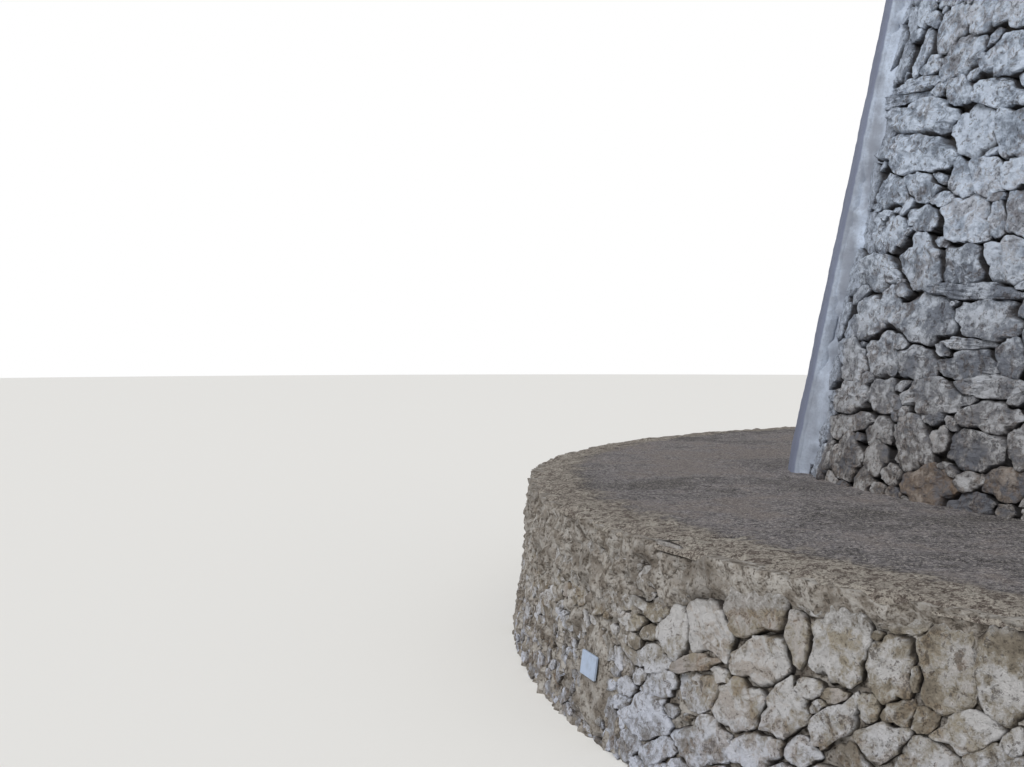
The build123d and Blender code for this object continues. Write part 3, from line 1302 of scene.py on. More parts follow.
    def before_gap(self, gap: Gap, rays: Array, across: float, along: float) -> Array:
        """Distance along each ray at which it enters a gap, or infinity.

        Args:
            gap: The gap.
            rays: Directions of the rays, one row each.
            across: Where they start across the face.
            along: Where they start up the face.

        Returns:
            The distance for each ray.
        """
        middle = self.face.span(gap.across - across, along)
        if abs(middle) > gap.half_width + 1:
            return np.full(len(rays), np.inf)
        low = np.array([middle - gap.half_width, gap.low - along])
        high = np.array([middle + gap.half_width, gap.high - along])
        safe = np.where(np.abs(rays) < 1e-9, 1e-9, rays)
        first, second = low / safe, high / safe
        enters = np.minimum(first, second).max(axis=1)
        leaves = np.maximum(first, second).min(axis=1)
        return np.where((enters > 0) & (enters < leaves), enters, np.inf)

    def lay(self, quarry: Quarry, name: str, stone: Finish, beds: list[int] | None = None) -> Piece:
        """Fit a copy of a block to each of some beds, all in one mesh.

        Args:
            quarry: Where the blocks come from.
            name: Name of the new piece.
            stone: Finish of the stones.
            beds: Numbers of the beds, or nothing for all of them.

        Returns:
            The stones, with their tone, warmth and depth in the joint as attributes.
        """
        places = self.places()
        angles = np.linspace(-math.pi, math.pi, DIRECTIONS, endpoint=False)
        turns = np.column_stack((np.cos(angles), np.sin(angles)))
        corners, triangles, tones, warmths, depths = [], [], [], [], []
        count = 0
        for index in range(len(self.beds)) if beds is None else beds:
            bed = self.beds[index]
            rng = np.random.default_rng((self.bond.seed, index))
            joint = rng.uniform(*self.bond.joint) + (0.0 if bed.grade is Grade.NEAR else 0.006)
            reach = self.reach(index, places, turns, joint)
            block = quarry.stock[bed.grade][rng.integers(len(quarry.stock[bed.grade]))]
            points, faces = self.turn_block(block, rng)
            points = self.fit(points, bed, angles, reach, rng)
            corners.append(points)
            triangles.append(faces + count)
            count += len(points)
            warm = bed.warmth
            if not warm and rng.uniform() < self.bond.warm:
                warm = rng.uniform(0.4, 1)
            tones.append(np.full(len(points), bed.tone + rng.normal() * 0.5))
            warmths.append(np.full(len(points), warm))
            depths.append(np.clip(-(block.corners[:, 2] + 0.008) / 0.045, 0, 1))
        places = np.vstack(corners)
        mesh = bpy.data.meshes.new(name)
        mesh.from_pydata(places.tolist(), [], np.vstack(triangles).tolist())
        mesh.materials.append(stone)
        stones = add_object(name, mesh)
        for value, parts in (("stone_tone", tones), ("stone_warmth", warmths), ("joint_depth", depths)):
            keep_value(stones, value, np.concatenate(parts))
        if self.smear is not None:
            keep_value(stones, "mortar_smear", self.smear(places))
        return stones

    def turn_block(self, block: Block, rng: Draws) -> tuple[Array, Array]:
        """Give a block a quarter turn or more, and mirror every second one."""
        points = block.corners.copy()
        faces = block.triangles
        if rng.uniform() < 0.5:
            points[:, 0] *= -1
            faces = faces[:, ::-1]
        for _ in range(rng.integers(4)):
            points[:, [0, 1]] = np.column_stack((-points[:, 1], points[:, 0]))
        return points, faces

    def fit(self, points: Array, bed: Bed, angles: Array, reach: Array, rng: Draws) -> Array:
        """Stretch a block to its cell and set it in the wall.

        Args:
            points: The block's corners.
            bed: The stone's bed.
            angles: The directions of the outline.
            reach: The outline.
            rng: Random draws of this stone.

        Returns:
            The corners in the house's frame.
        """
        angle = np.arctan2(points[:, 1], points[:, 0])
        turn = np.column_stack((np.cos(angle), np.sin(angle)))
        ring = reach_of(points) / HALF_BLOCK * squareness(turn)
        outline = np.interp(angle, np.append(angles, math.pi), np.append(reach, reach[0]))
        flat = (turn * (ring * outline)[:, None]) @ bed.axes.T
        size = math.sqrt(abs(np.linalg.det(bed.axes))) * reach.mean() / HALF_BLOCK
        size = float(np.clip(size, 0.35, 1.25))
        depth = points[:, 2]
        lower = (BLOCK_DEPTH - RIM_DEPTH * size) / (BLOCK_DEPTH - RIM_DEPTH)
        proud = np.where(depth > -RIM_DEPTH, depth * size, -RIM_DEPTH * size + (depth + RIM_DEPTH) * lower)
        slope = rng.normal(size=2) * self.bond.tilt
        proud = proud + flat @ slope - bed.sunk - abs(rng.normal()) * self.bond.sunk
        across = bed.across + flat[:, 0] / self.face.radius(bed.along)
        return self.face.place(across, bed.along + flat[:, 1], proud)


# Sub-assemblies


def face_of(*nodes: str) -> RoundFace:
    """Read the outer face of some wall nodes from the CAD model.

    Args:
        *nodes: Nodes from the foot to the top.

    Returns:
        The face.
    """
    corners = np.vstack([corners_of(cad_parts[node]) for node in nodes])
    foot, top = corners[:, 2].min(), corners[:, 2].max()
    reach = reach_of(corners)
    foot_radius = reach[corners[:, 2] < foot + 0.001].max()
    top_radius = reach[corners[:, 2] > top - 0.001].max()
    return RoundFace(float(foot_radius), float(top_radius), float(foot), float(top))


def course_cheek(
    bond: Bond, side: int, half: float, reach: tuple[float, float], levels: tuple[float, float], joint: float
) -> Stonework:
    """Course the flat cheek of a passage at the door, as it is seen from inside the passage.

    Args:
        bond: The way in which it is laid.
        side: 1 for the cheek at +X and -1 for the other.
        half: Half the passage's width.
        reach: Radii at which it ends towards the room and towards the yard.
        levels: Levels of its foot and its head.
        joint: Clearance that its stones keep from its foot and its head.

    Returns:
        Its stonework, coursed.
    """
    foot, head = levels
    inner_y, outer_y = (-math.sqrt(radius**2 - half**2) for radius in reach)
    start_y = inner_y if side > 0 else outer_y
    face = FlatFace(Vector((side * half, start_y, foot)), Vector((0, -side, 0)), Vector((-side, 0, 0)))
    work = Stonework(face, bond, 0, inner_y - outer_y, joint, head - foot - joint)
    work.course()
    return work


@dataclass(frozen=True)
class DoorOpening:
    """Sizes of the doorway, read from the CAD nodes of its frame."""

    half_width: float
    half_frame: float
    half_corridor: float
    head: float
    lintel_top: float
    inner_half: float

    @staticmethod
    def measure() -> "DoorOpening":
        """Read the sizes from the frame."""
        low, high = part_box("right_jamb")
        lintel_low, lintel_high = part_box("door_lintel")
        ring_low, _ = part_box("ring_wall_1")
        _, inner_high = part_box("inner_lintel")
        return DoorOpening(low.x, high.x, ring_low.x, lintel_low.z, lintel_high.z, inner_high.x)


@dataclass
class SeenWall:
    """Round wall in segments, of which the photograph shows a part.

    Attributes:
        quarry: Where the stones come from.
        view: The photograph's view.
        door: Sizes of the doorway.
        seen: Stones as the photograph shows them.
        stone: Finish of the stones.
        filling: Finish of what lies behind their joints.
        bond: The way in which it is laid.
        near: Bearings between which it is seen closely, in degrees.
        recess: Depth of its open joints.
        segments: Number of the segments, which count anticlockwise from the doorway.
    """

    quarry: Quarry
    view: PhotoView
    door: DoorOpening
    seen: tuple[Seen, ...]
    stone: Finish
    filling: Finish
    bond: Bond
    near: tuple[float, float]
    recess: float
    segments: int = 6

    def beds_in(self, work: Stonework, number: int) -> list[int]:
        """Numbers of the beds in one segment."""
        turns = ((bed.across - DOOR_BEARING) % TURN / (TURN / self.segments) for bed in work.beds)
        return [i for i, turn in enumerate(turns) if int(turn) % self.segments == number - 1]


@dataclass
class RingWall(SeenWall):
    """Low outer wall of rubble in mortar, smeared over near its top and open at the way to the door.

    The bearings are in degrees. A set of four gives where something starts, is full, fades and ends.

    Attributes:
        cheek_bond: The way in which the cheeks of the way to the door are laid.
        flush: Depth of the joints where mortar is smeared over them.
        sunk: How much deeper the stones lie under the smeared mortar.
        smear_foot: Lowest level of the smeared mortar.
        smear_high: Bearings where it ends higher.
        smear_low: Bearings where it ends lower.
        filled_up: Bearings where mortar fills the joints between the fragments.
        open_joints: Bearings where no pointing is left in the joints.
        eaten: Bearings between which small fragments stand in deeply eaten mortar.
        fragments: Distance between the fragments across and up the wall.
        patch: Bearing and level of the smooth patch round the wiring box lid.
        patch_size: Half its width and half its height.
        lid_room: Half the width and half the height that stays free of stones at the lid.
        head_room: Distance between the highest stones and the wall's top.
        bedding: How far stones and mortar may rise into the screed.
    """

    bond: Bond = Bond(
        course=(0.13, 0.21), length=(0.14, 0.34), wander=0.2, lean=0.3, joint=(-0.006, 0.006),
        shim=0.018, sunk=0.008, tilt=0.06, seed=21,
    )
    cheek_bond: Bond = Bond(course=(0.13, 0.2), length=(0.16, 0.32), wander=0.12, shim=0.03, seed=31)
    near: tuple[float, float] = (204, 246)
    recess: float = 0.045
    flush: float = 0.006
    sunk: float = 0.014
    smear_foot: float = 0.62
    smear_high: tuple[float, ...] = (205, 209, 234, 246)
    smear_low: tuple[float, ...] = (170, 182, 201, 206)
    filled_up: tuple[float, ...] = (172, 180, 203, 207)
    open_joints: tuple[float, ...] = (224, 238, 262, 276)
    eaten: tuple[float, float] = (172, 205)
    fragments: tuple[float, float] = (0.125, 0.062)
    patch: tuple[float, float] = (200.2, 0.22)
    patch_size: tuple[float, float] = (0.13, 0.2)
    lid_room: tuple[float, float] = (0.075, 0.1)
    head_room: float = 0.004
    bedding: float = 0.028

    def build(self) -> None:
        """Build every segment."""
        face = face_of("ring_wall_3")
        high = face.length - self.head_room
        work = Stonework(face, self.bond, 0, TURN, 0, high, closed=True, smear=self.cover)
        work.gaps.append(Gap(DOOR_BEARING, self.door.half_corridor + 0.005, -1, face.length + 1))
        lid = sum(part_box("wiring_box_lid"), Vector()) / 2
        half_width, half_height = self.lid_room
        work.gaps.append(Gap(math.atan2(lid.y, lid.x), half_width, lid.z - half_height, lid.z + half_height))
        work.see(self.view, self.seen)
        self.scatter(work)
        work.course()
        work.wedge()
        across, along, *_ = work.places()
        middles = face.place(across, along, np.zeros(len(across)))
        for bed, bearing, cover in zip(work.beds, bearings_of(middles), self.cover(middles)):
            eaten = between(bearing, self.eaten[0], self.eaten[0] + 6, 200, self.eaten[1])
            bed.sunk = self.sunk * max(cover, 0.8 * eaten)
            if self.near[0] < bearing < self.near[1] and bed.grade is Grade.FAR and bed.axes[0, 0] > 0.053:
                bed.grade = Grade.NEAR
        for number in range(1, self.segments + 1):
            beds = self.beds_in(work, number)
            stones = work.lay(self.quarry, f"ring_wall_rubble_{number}", self.stone, beds)
            side = door_side(number, self.segments)
            parts = [self.core(face, number)]
            if side:
                parts.append(self.cheek(face, side))
            weather(stones, 0.016)
            join_into(stones, *parts)
            self.set_down(stones, face)
            finish_piece(stones, f"ring_wall_{number}", 24)

    def scatter(self, work: Stonework) -> None:
        """Set small, uneven fragments in the wall's eaten part, between the stones that are there."""
        rng = np.random.default_rng(self.bond.seed + 5)
        seen = list(work.beds)
        start, end = (math.radians(bearing) for bearing in self.eaten)
        columns = int((end - start) * work.face.foot_radius / self.fragments[0])
        rows = int(work.high / self.fragments[1])
        for row in range(rows):
            for column in range(columns):
                across = start + (column + rng.uniform(-0.1, 1.1)) / columns * (end - start)
                along = work.low + (row + rng.uniform(0.1, 0.9)) / rows * work.high
                half = rng.uniform(0.03, 0.068), rng.uniform(0.018, 0.034)
                bed = Bed(across, along, turned(rng.normal() * 0.45, *half), tone=rng.uniform(-1.5, 3.0))
                if work.free(bed) and not work.crowded(bed, seen, 1.2):
                    bed.grade = Grade.SMALL if half[0] < 0.034 else Grade.FAR
                    work.beds.append(bed)

    def cover(self, points: Array) -> Array:
        """How far mortar covers the stones at some places, from 0 to 1.

        Args:
            points: The places, one row each.

        Returns:
            The cover for each.
        """
        bearing = bearings_of(points)
        turn = np.radians(bearing)
        wave = 0.035 * np.sin(5 * turn) + 0.025 * np.sin(13 * turn + 1) + 0.015 * np.sin(41 * turn)
        edge = self.smear_foot + wave + 0.08 * between(bearing, *self.smear_high)
        edge = edge - 0.09 * between(bearing, *self.smear_low)
        covered = ease(points[:, 2] - edge, -0.06, 0.05)
        return np.maximum(covered, self.patched(points))

    def filled(self, points: Array) -> Array:
        """How far mortar fills the joints at some places, from 0 to 1."""
        bearing = bearings_of(points)
        eaten = 0.6 * between(bearing, *self.filled_up)
        pointed = 0.34 * (1 - between(bearing, *self.open_joints))
        return np.maximum.reduce((self.cover(points), eaten, pointed))

    def patched(self, points: Array) -> Array:
        """How far some places lie in the smooth patch round the lid, from 0 to 1."""
        sideways = np.radians(bearings_of(points) - self.patch[0]) * reach_of(points)
        away = np.hypot(sideways / self.patch_size[0], (points[:, 2] - self.patch[1]) / self.patch_size[1])
        return 1 - ease(away, 0.75, 1.15)

    def core(self, face: RoundFace, number: int) -> Piece:
        """Body of mortar behind the stones, cut off where the way to the door passes.

        Args:
            face: The wall's face.
            number: The segment's number.

        Returns:
            The body.
        """
        inner = face_of("cone_wall_lower_3")
        spacing = 0.018 if number in (5, 6) else 0.06
        front = spread([(face.foot_radius, 0.0), (face.top_radius, face.top)], spacing)
        inner_top = inner.foot_radius + (inner.top_radius - inner.foot_radius) * face.top / inner.top
        outline = front + [(inner_top, face.top), (inner.foot_radius, 0.0)]
        reach = face.foot_radius
        core = spin_segment(f"mortar_{number}", outline, number, self.segments, reach, spacing, self.filling)
        corners = corners_of(core)
        outer = (reach_of(corners) > face.top_radius - 0.05).astype(float)
        cover = self.filled(corners)
        depth = self.recess - (self.recess - self.flush) * cover
        bearing = bearings_of(corners)
        rough = 1 - 0.85 * self.patched(corners)
        eaten = rough * between(bearing, self.eaten[0], self.eaten[0] + 8, self.eaten[1], self.eaten[1] + 5)
        depth -= 0.014 * lumps(corners, 0.13) * rough * (0.4 + cover)
        depth -= (0.02 * rough + 0.03 * eaten) * lumps(corners, 0.035) + 0.04 * eaten * lumps(corners, 0.07)
        under = outer * ease(corners[:, 2], face.top - 0.05, face.top - 0.005)
        level = corners * (1, 1, 0)
        climbs = ease(lumps(level, 0.3) + 0.6 * lumps(level, 0.07), -0.2, 0.12)
        depth += under * (0.004 - 0.02 * climbs)
        corners[:, 2] += under * (0.032 * climbs - 0.006)
        push_radially(corners, outer, -depth)
        move_corners(core, corners)
        cut_beside_door(core, door_side(number, self.segments), self.door.half_corridor + 0.03)
        return core

    def cheek(self, face: RoundFace, side: int) -> Piece:
        """Rubble on the flat cheek of the wall, on one side of the way to the door."""
        reach = face_of("cone_wall_lower_3").foot_radius, face.top_radius
        levels = (0.0, face.top - self.head_room)
        work = course_cheek(self.cheek_bond, side, self.door.half_corridor, reach, levels, 0.0)
        work.wedge()
        stones = work.lay(self.quarry, f"cheek_{side}", self.stone)
        roughen(stones, 0.14, 0.016)
        return stones

    def set_down(self, piece: Piece, face: RoundFace) -> None:
        """Let nothing reach through the screed."""
        corners = corners_of(piece)
        corners[:, 2] = np.minimum(corners[:, 2], face.top + self.bedding)
        move_corners(piece, corners)


@dataclass
class Walkway:
    """Rough screed on the ring wall, worn down in a shoulder to a thin, broken edge.

    Attributes:
        door: Sizes of the doorway.
        screed: Its finish.
        worn_width: Width of the shoulder.
        worn_drop: Fall of the shoulder.
        edge_round: Radius of the edge.
        lap: How far the screed runs in under the cone's stones.
        segments: How many pieces it is cast in.
    """

    door: DoorOpening
    screed: Finish
    worn_width: float = 0.2
    worn_drop: float = 0.02
    edge_round: float = 0.016
    lap: float = 0.05
    segments: int = 4

    def build(self) -> None:
        """Build every quarter."""
        corners = corners_of(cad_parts["walkway_screed_3"])
        reach = reach_of(corners)
        inner, edge = float(reach.min()) - self.lap, float(reach.max())
        bottom, top = float(corners[:, 2].min()), float(corners[:, 2].max())
        for number in range(1, self.segments + 1):
            spacing = {3: 0.034, 4: 0.022}.get(number, 0.06)
            outline = self.section(inner, edge, bottom, top, spacing)
            name = f"screed_{number}"
            piece = spin_segment(name, outline, number, self.segments, edge, spacing, self.screed)
            self.wear(piece, edge, bottom)
            cut_beside_door(piece, door_side(number, self.segments), self.door.half_corridor)
            finish_piece(piece, f"walkway_screed_{number}", 50)

    def section(self, inner: float, edge: float, bottom: float, top: float, spacing: float) -> Outline:
        """Section of the screed, from its inner end over the top to its edge and back below.

        Args:
            inner: Inner radius.
            edge: Outer radius.
            bottom: Level of its underside.
            top: Level of its top.
            spacing: Distance between the points on its top.

        Returns:
            Radius and level of each corner.
        """
        crest = edge - self.worn_width
        flat = spread([(inner, top), (crest, top)], spacing)
        shares = np.linspace(0, 1, max(5, int(self.worn_width / spacing)) + 1)[1:-1]
        shoulder = [(crest + s * self.worn_width, top - self.worn_drop * s * s) for s in shares]
        centre = (edge - self.edge_round, top - self.worn_drop - self.edge_round)
        nose = rounded(centre, self.edge_round, 75)
        under = spread([(edge - 0.002, bottom), (inner, bottom)], 0.4)
        return flat + shoulder + nose + under

    def wear(self, piece: Piece, edge: float, bottom: float) -> None:
        """Wear the top into hollows, and break the edge.

        Args:
            piece: The piece, fresh from its section.
            edge: Its outer radius.
            bottom: The level of its underside.
        """
        corners = corners_of(piece)
        reach = reach_of(corners)
        above = ease(corners[:, 2], bottom + 0.002, bottom + 0.02)
        worn = ease(reach, edge - 0.3, edge - 0.05)
        hollow = 0.012 * lumps(corners, 0.45) + (0.01 + 0.016 * worn) * lumps(corners, 0.11)
        corners[:, 2] += above * (hollow + (0.007 + 0.01 * worn) * lumps(corners, 0.04)) - 0.003 * above
        outermost = ease(reach, edge - 0.05, edge - 0.01)
        push_radially(corners, outermost * (0.35 + 0.65 * above), self.breaks(corners))
        move_corners(piece, corners)
        keep_value(piece, "lip_wear", ease(reach, edge - 0.4, edge - 0.1))

    def breaks(self, corners: Array) -> Array:
        """How far the edge stands out or is broken back at some places."""
        coarse = 0.022 * lumps(corners, 0.3) + 0.03 * lumps(corners, 0.07)
        return coarse + 0.014 * lumps(corners, 0.025) - 0.002


@dataclass
class ConeWall(SeenWall):
    """Battered cone of dry rubble in two tiers, with earth behind the joints.

    Attributes:
        rib_room: Half the width that stays free of stones at the rendered rib.
        smeared: Distances from the rib's middle at which the render thins out over the stones and ends.
        spacing: Distance between the corners of the earth's mesh.
    """

    bond: Bond = Bond(
        course=(0.13, 0.24), length=(0.15, 0.38), wander=0.16, lean=0.14, joint=(-0.006, 0.008),
        shim=0.018, sunk=0.01, tilt=0.07, warm=0.05, seed=41,
    )
    near: tuple[float, float] = (160, 222)
    recess: float = 0.062
    rib_room: float = 0.056
    smeared: tuple[float, float] = (0.12, 0.44)
    spacing: float = 0.06

    def build(self) -> None:
        """Build every segment of both tiers."""
        face = face_of("cone_wall_lower_3", "cone_wall_upper_3")
        _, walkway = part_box("walkway_screed_3")
        low = face.along(walkway.z - 0.02)
        work = Stonework(face, self.bond, 0, TURN, low, face.length - 0.003, closed=True, smear=self.smear)
        lintel = face.along(self.door.lintel_top)
        work.gaps.append(Gap(DOOR_BEARING, self.door.half_frame + 0.008, -1, lintel + 0.004))
        work.gaps.append(Gap(RIB_BEARING, self.rib_room, -1, face.length + 1))
        work.see(self.view, self.seen)
        work.course()
        work.wedge()
        for bed in work.beds:
            bearing = math.degrees(bed.across) % 360
            if self.near[0] < bearing < self.near[1] and bed.grade is Grade.FAR:
                bed.grade = Grade.NEAR
        tier_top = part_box("cone_wall_lower_3")[1].z
        for tier in ("lower", "upper"):
            for number in range(1, self.segments + 1):
                chosen = [
                    i
                    for i in self.beds_in(work, number)
                    if (face.level(work.beds[i].along) < tier_top) == (tier == "lower")
                ]
                stones = work.lay(self.quarry, f"cone_rubble_{tier}_{number}", self.stone, chosen)
                weather(stones, 0.018)
                join_into(stones, self.core(face, tier, number))
                finish_piece(stones, f"cone_wall_{tier}_{number}", 24)

    def smear(self, points: Array) -> Array:
        """How far the rib's render is smeared over the stones beside it, from 0 to 1."""
        turn = np.radians(bearings_of(points) - math.degrees(RIB_BEARING))
        return 1 - ease(np.abs(turn) * reach_of(points), *self.smeared)

    def core(self, face: RoundFace, tier: str, number: int) -> Piece:
        """Body of packed stones and earth behind the face of one segment.

        Args:
            face: The cone's face.
            tier: Its tier, lower or upper.
            number: The segment's number.

        Returns:
            The body.
        """
        low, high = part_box(f"cone_wall_{tier}_3")
        inner = float(reach_of(corners_of(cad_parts[f"cone_wall_{tier}_3"])).min())
        foot = float(face.radius(face.along(low.z))) - self.recess
        top = float(face.radius(face.along(high.z))) - self.recess
        front = spread([(foot, low.z), (top, high.z)], self.spacing)
        outline = front + [(min(inner, top - 0.02), high.z), (inner, low.z)]
        name = f"earth_{tier}_{number}"
        core = spin_segment(name, outline, number, self.segments, foot, self.spacing, self.filling)
        group_corners(core, "front", reach_of(corners_of(core)) > inner + 0.05)
        roughen(core, 0.08, 0.02, "front")
        if tier == "lower":
            cut_beside_door(core, door_side(number, self.segments), self.door.half_frame)
        return core


def dress_lid(plastic: Finish) -> None:
    """Give the wiring box lid its finish, because its CAD shape is right as it is."""
    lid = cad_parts["wiring_box_lid"]
    if not lid.material_slots:
        lid.data.materials.append(None)
    lid.material_slots[0].link = "OBJECT"
    lid.material_slots[0].material = plastic
    LOG.info("wiring_box_lid: CAD shape")


@dataclass
class RenderedRib:
    """Rounded rib of render that runs up the cone, with a thin apron smeared over the stones beside it.

    Attributes:
        render: Its finish.
        voxel: Size of the cells in which it is remeshed.
        kept: Share of its faces that is kept.
        apron_half: Half the apron's width.
        apron_grid: Rows and columns of the apron's corners.
    """

    render: Finish
    voxel: float = 0.012
    kept: float = 0.4
    apron_half: float = 0.21
    apron_grid: tuple[int, int] = (140, 24)

    def build(self) -> None:
        """Build the rib and its apron."""
        rib = copy_of_node("rendered_rib", "smeared_rib")
        soften(rib, self.voxel, 3)
        roughen(rib, 0.3, 0.01)
        roughen(rib, 0.05, 0.005)
        # Mark the rib's outer face, which faces away from the cone, for painted shade in its render
        normals = np.array([vertex.normal[:] for vertex in rib.data.vertices])
        outwards = normals @ np.array([math.cos(RIB_BEARING), math.sin(RIB_BEARING), 0.0])
        keep_value(rib, "shaded_side", ease(outwards, 0.35, 0.9))
        rib.data.materials.append(self.render)
        shape_with(rib, "DECIMATE", ratio=self.kept)
        join_into(rib, self.apron())
        low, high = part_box("rendered_rib")
        corners = corners_of(rib)
        corners[:, 2] -= 0.03 * (1 - ease(corners[:, 2], low.z, low.z + 0.06))
        corners[:, 2] = np.clip(corners[:, 2], low.z - 0.012, high.z + 0.001)
        move_corners(rib, corners)
        finish_piece(rib, "rendered_rib", 60)

    def apron(self) -> Piece:
        """Thin, uneven skin of render over the joints on both sides of the rib."""
        face = face_of("cone_wall_lower_3", "cone_wall_upper_3")
        low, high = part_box("rendered_rib")
        foot, top = face.along(low.z - 0.01), face.along(high.z - 0.002)
        rows, columns = self.apron_grid
        across = np.linspace(-self.apron_half, self.apron_half, columns)
        grid = np.meshgrid(np.linspace(foot, top, rows), across, indexing="ij")
        along, across = (values.ravel() for values in grid)
        bearing = RIB_BEARING + across / face.radius(along)
        flat = face.place(bearing, along, np.zeros(len(bearing)))
        away = np.abs(across) + 0.16 * lumps(flat, 0.24) + 0.08 * lumps(flat, 0.06)
        proud = 0.058 * (1 - ease(np.abs(across), 0.06, 0.15)) + 0.002
        proud += 0.012 * lumps(flat, 0.06) - 0.085 * ease(away, 0.09, 0.18)
        front = face.place(bearing, along, proud)
        back = face.place(bearing, along, np.minimum(proud - 0.03, -0.02))
        return self.sheet(front, back)

    def sheet(self, front: Array, back: Array) -> Piece:
        """Closed thin body between two grids of points.

        Args:
            front: Points of its front, row by row.
            back: Points of its back.

        Returns:
            The body.
        """
        rows, columns = self.apron_grid
        clear_bench()
        bpy.ops.mesh.primitive_grid_add(x_subdivisions=columns - 1, y_subdivisions=rows - 1, size=1)
        skin = bpy.context.object
        shape_with(skin, "SOLIDIFY", thickness=0.1, offset=-1)
        corners = corners_of(skin)
        column = np.rint((corners[:, 0] + 0.5) * (columns - 1)).astype(int)
        row = np.rint((corners[:, 1] + 0.5) * (rows - 1)).astype(int)
        index = row * columns + column
        placed = np.where((corners[:, 2] > -0.05)[:, None], front[index], back[index])
        move_corners(skin, placed)
        open_mesh(skin)
        close_mesh()
        skin.data.materials.append(self.render)
        return skin


@dataclass
class Roof:
    """Flat roof of screed with a slight crown and a rounded lip.

    Attributes:
        screed: Its finish.
        crown: Rise from its edge to its middle.
        edge_round: Radius of its lip.
        steps: Copies of its section round the axis.
    """

    screed: Finish
    crown: float = 0.06
    edge_round: float = 0.075
    steps: int = 260

    def build(self) -> None:
        """Build the roof bed."""
        low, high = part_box("roof_bed")
        _, cap_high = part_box("capstone")
        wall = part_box("cone_wall_upper_3")[1].z
        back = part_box("dome_ring_13")[1].x
        edge, edge_top = high.x, high.z - self.crown
        shares = np.linspace(0, 1, 45)[:-1]
        top = [(s * (edge - self.edge_round), high.z - self.crown * s * s) for s in shares]
        centre = (edge - self.edge_round, edge_top - self.edge_round)
        nose = rounded(centre, self.edge_round, 88)
        under = [(edge, wall), (back, wall), (back, low.z), (cap_high.x, low.z), (cap_high.x, cap_high.z)]
        outline = top + nose + under + [(0.0, cap_high.z)]
        roof = spin_section("roof_screed", outline, 0, TURN, self.steps, self.screed)
        corners = corners_of(roof)
        reach = reach_of(corners)
        above = ease(corners[:, 2], wall - 0.001, wall + 0.06)
        corners[:, 2] += above * (0.016 * lumps(corners, 0.5) + 0.012 * lumps(corners, 0.12) - 0.004)
        broken = 0.02 * lumps(corners, 0.25) + 0.026 * lumps(corners, 0.08) - 0.004
        push_radially(corners, ease(reach, edge - 0.08, edge - 0.01), broken)
        move_corners(roof, corners)
        keep_value(roof, "lip_wear", ease(reach, edge - 0.25, edge - 0.08))
        finish_piece(roof, "roof_bed", 50)


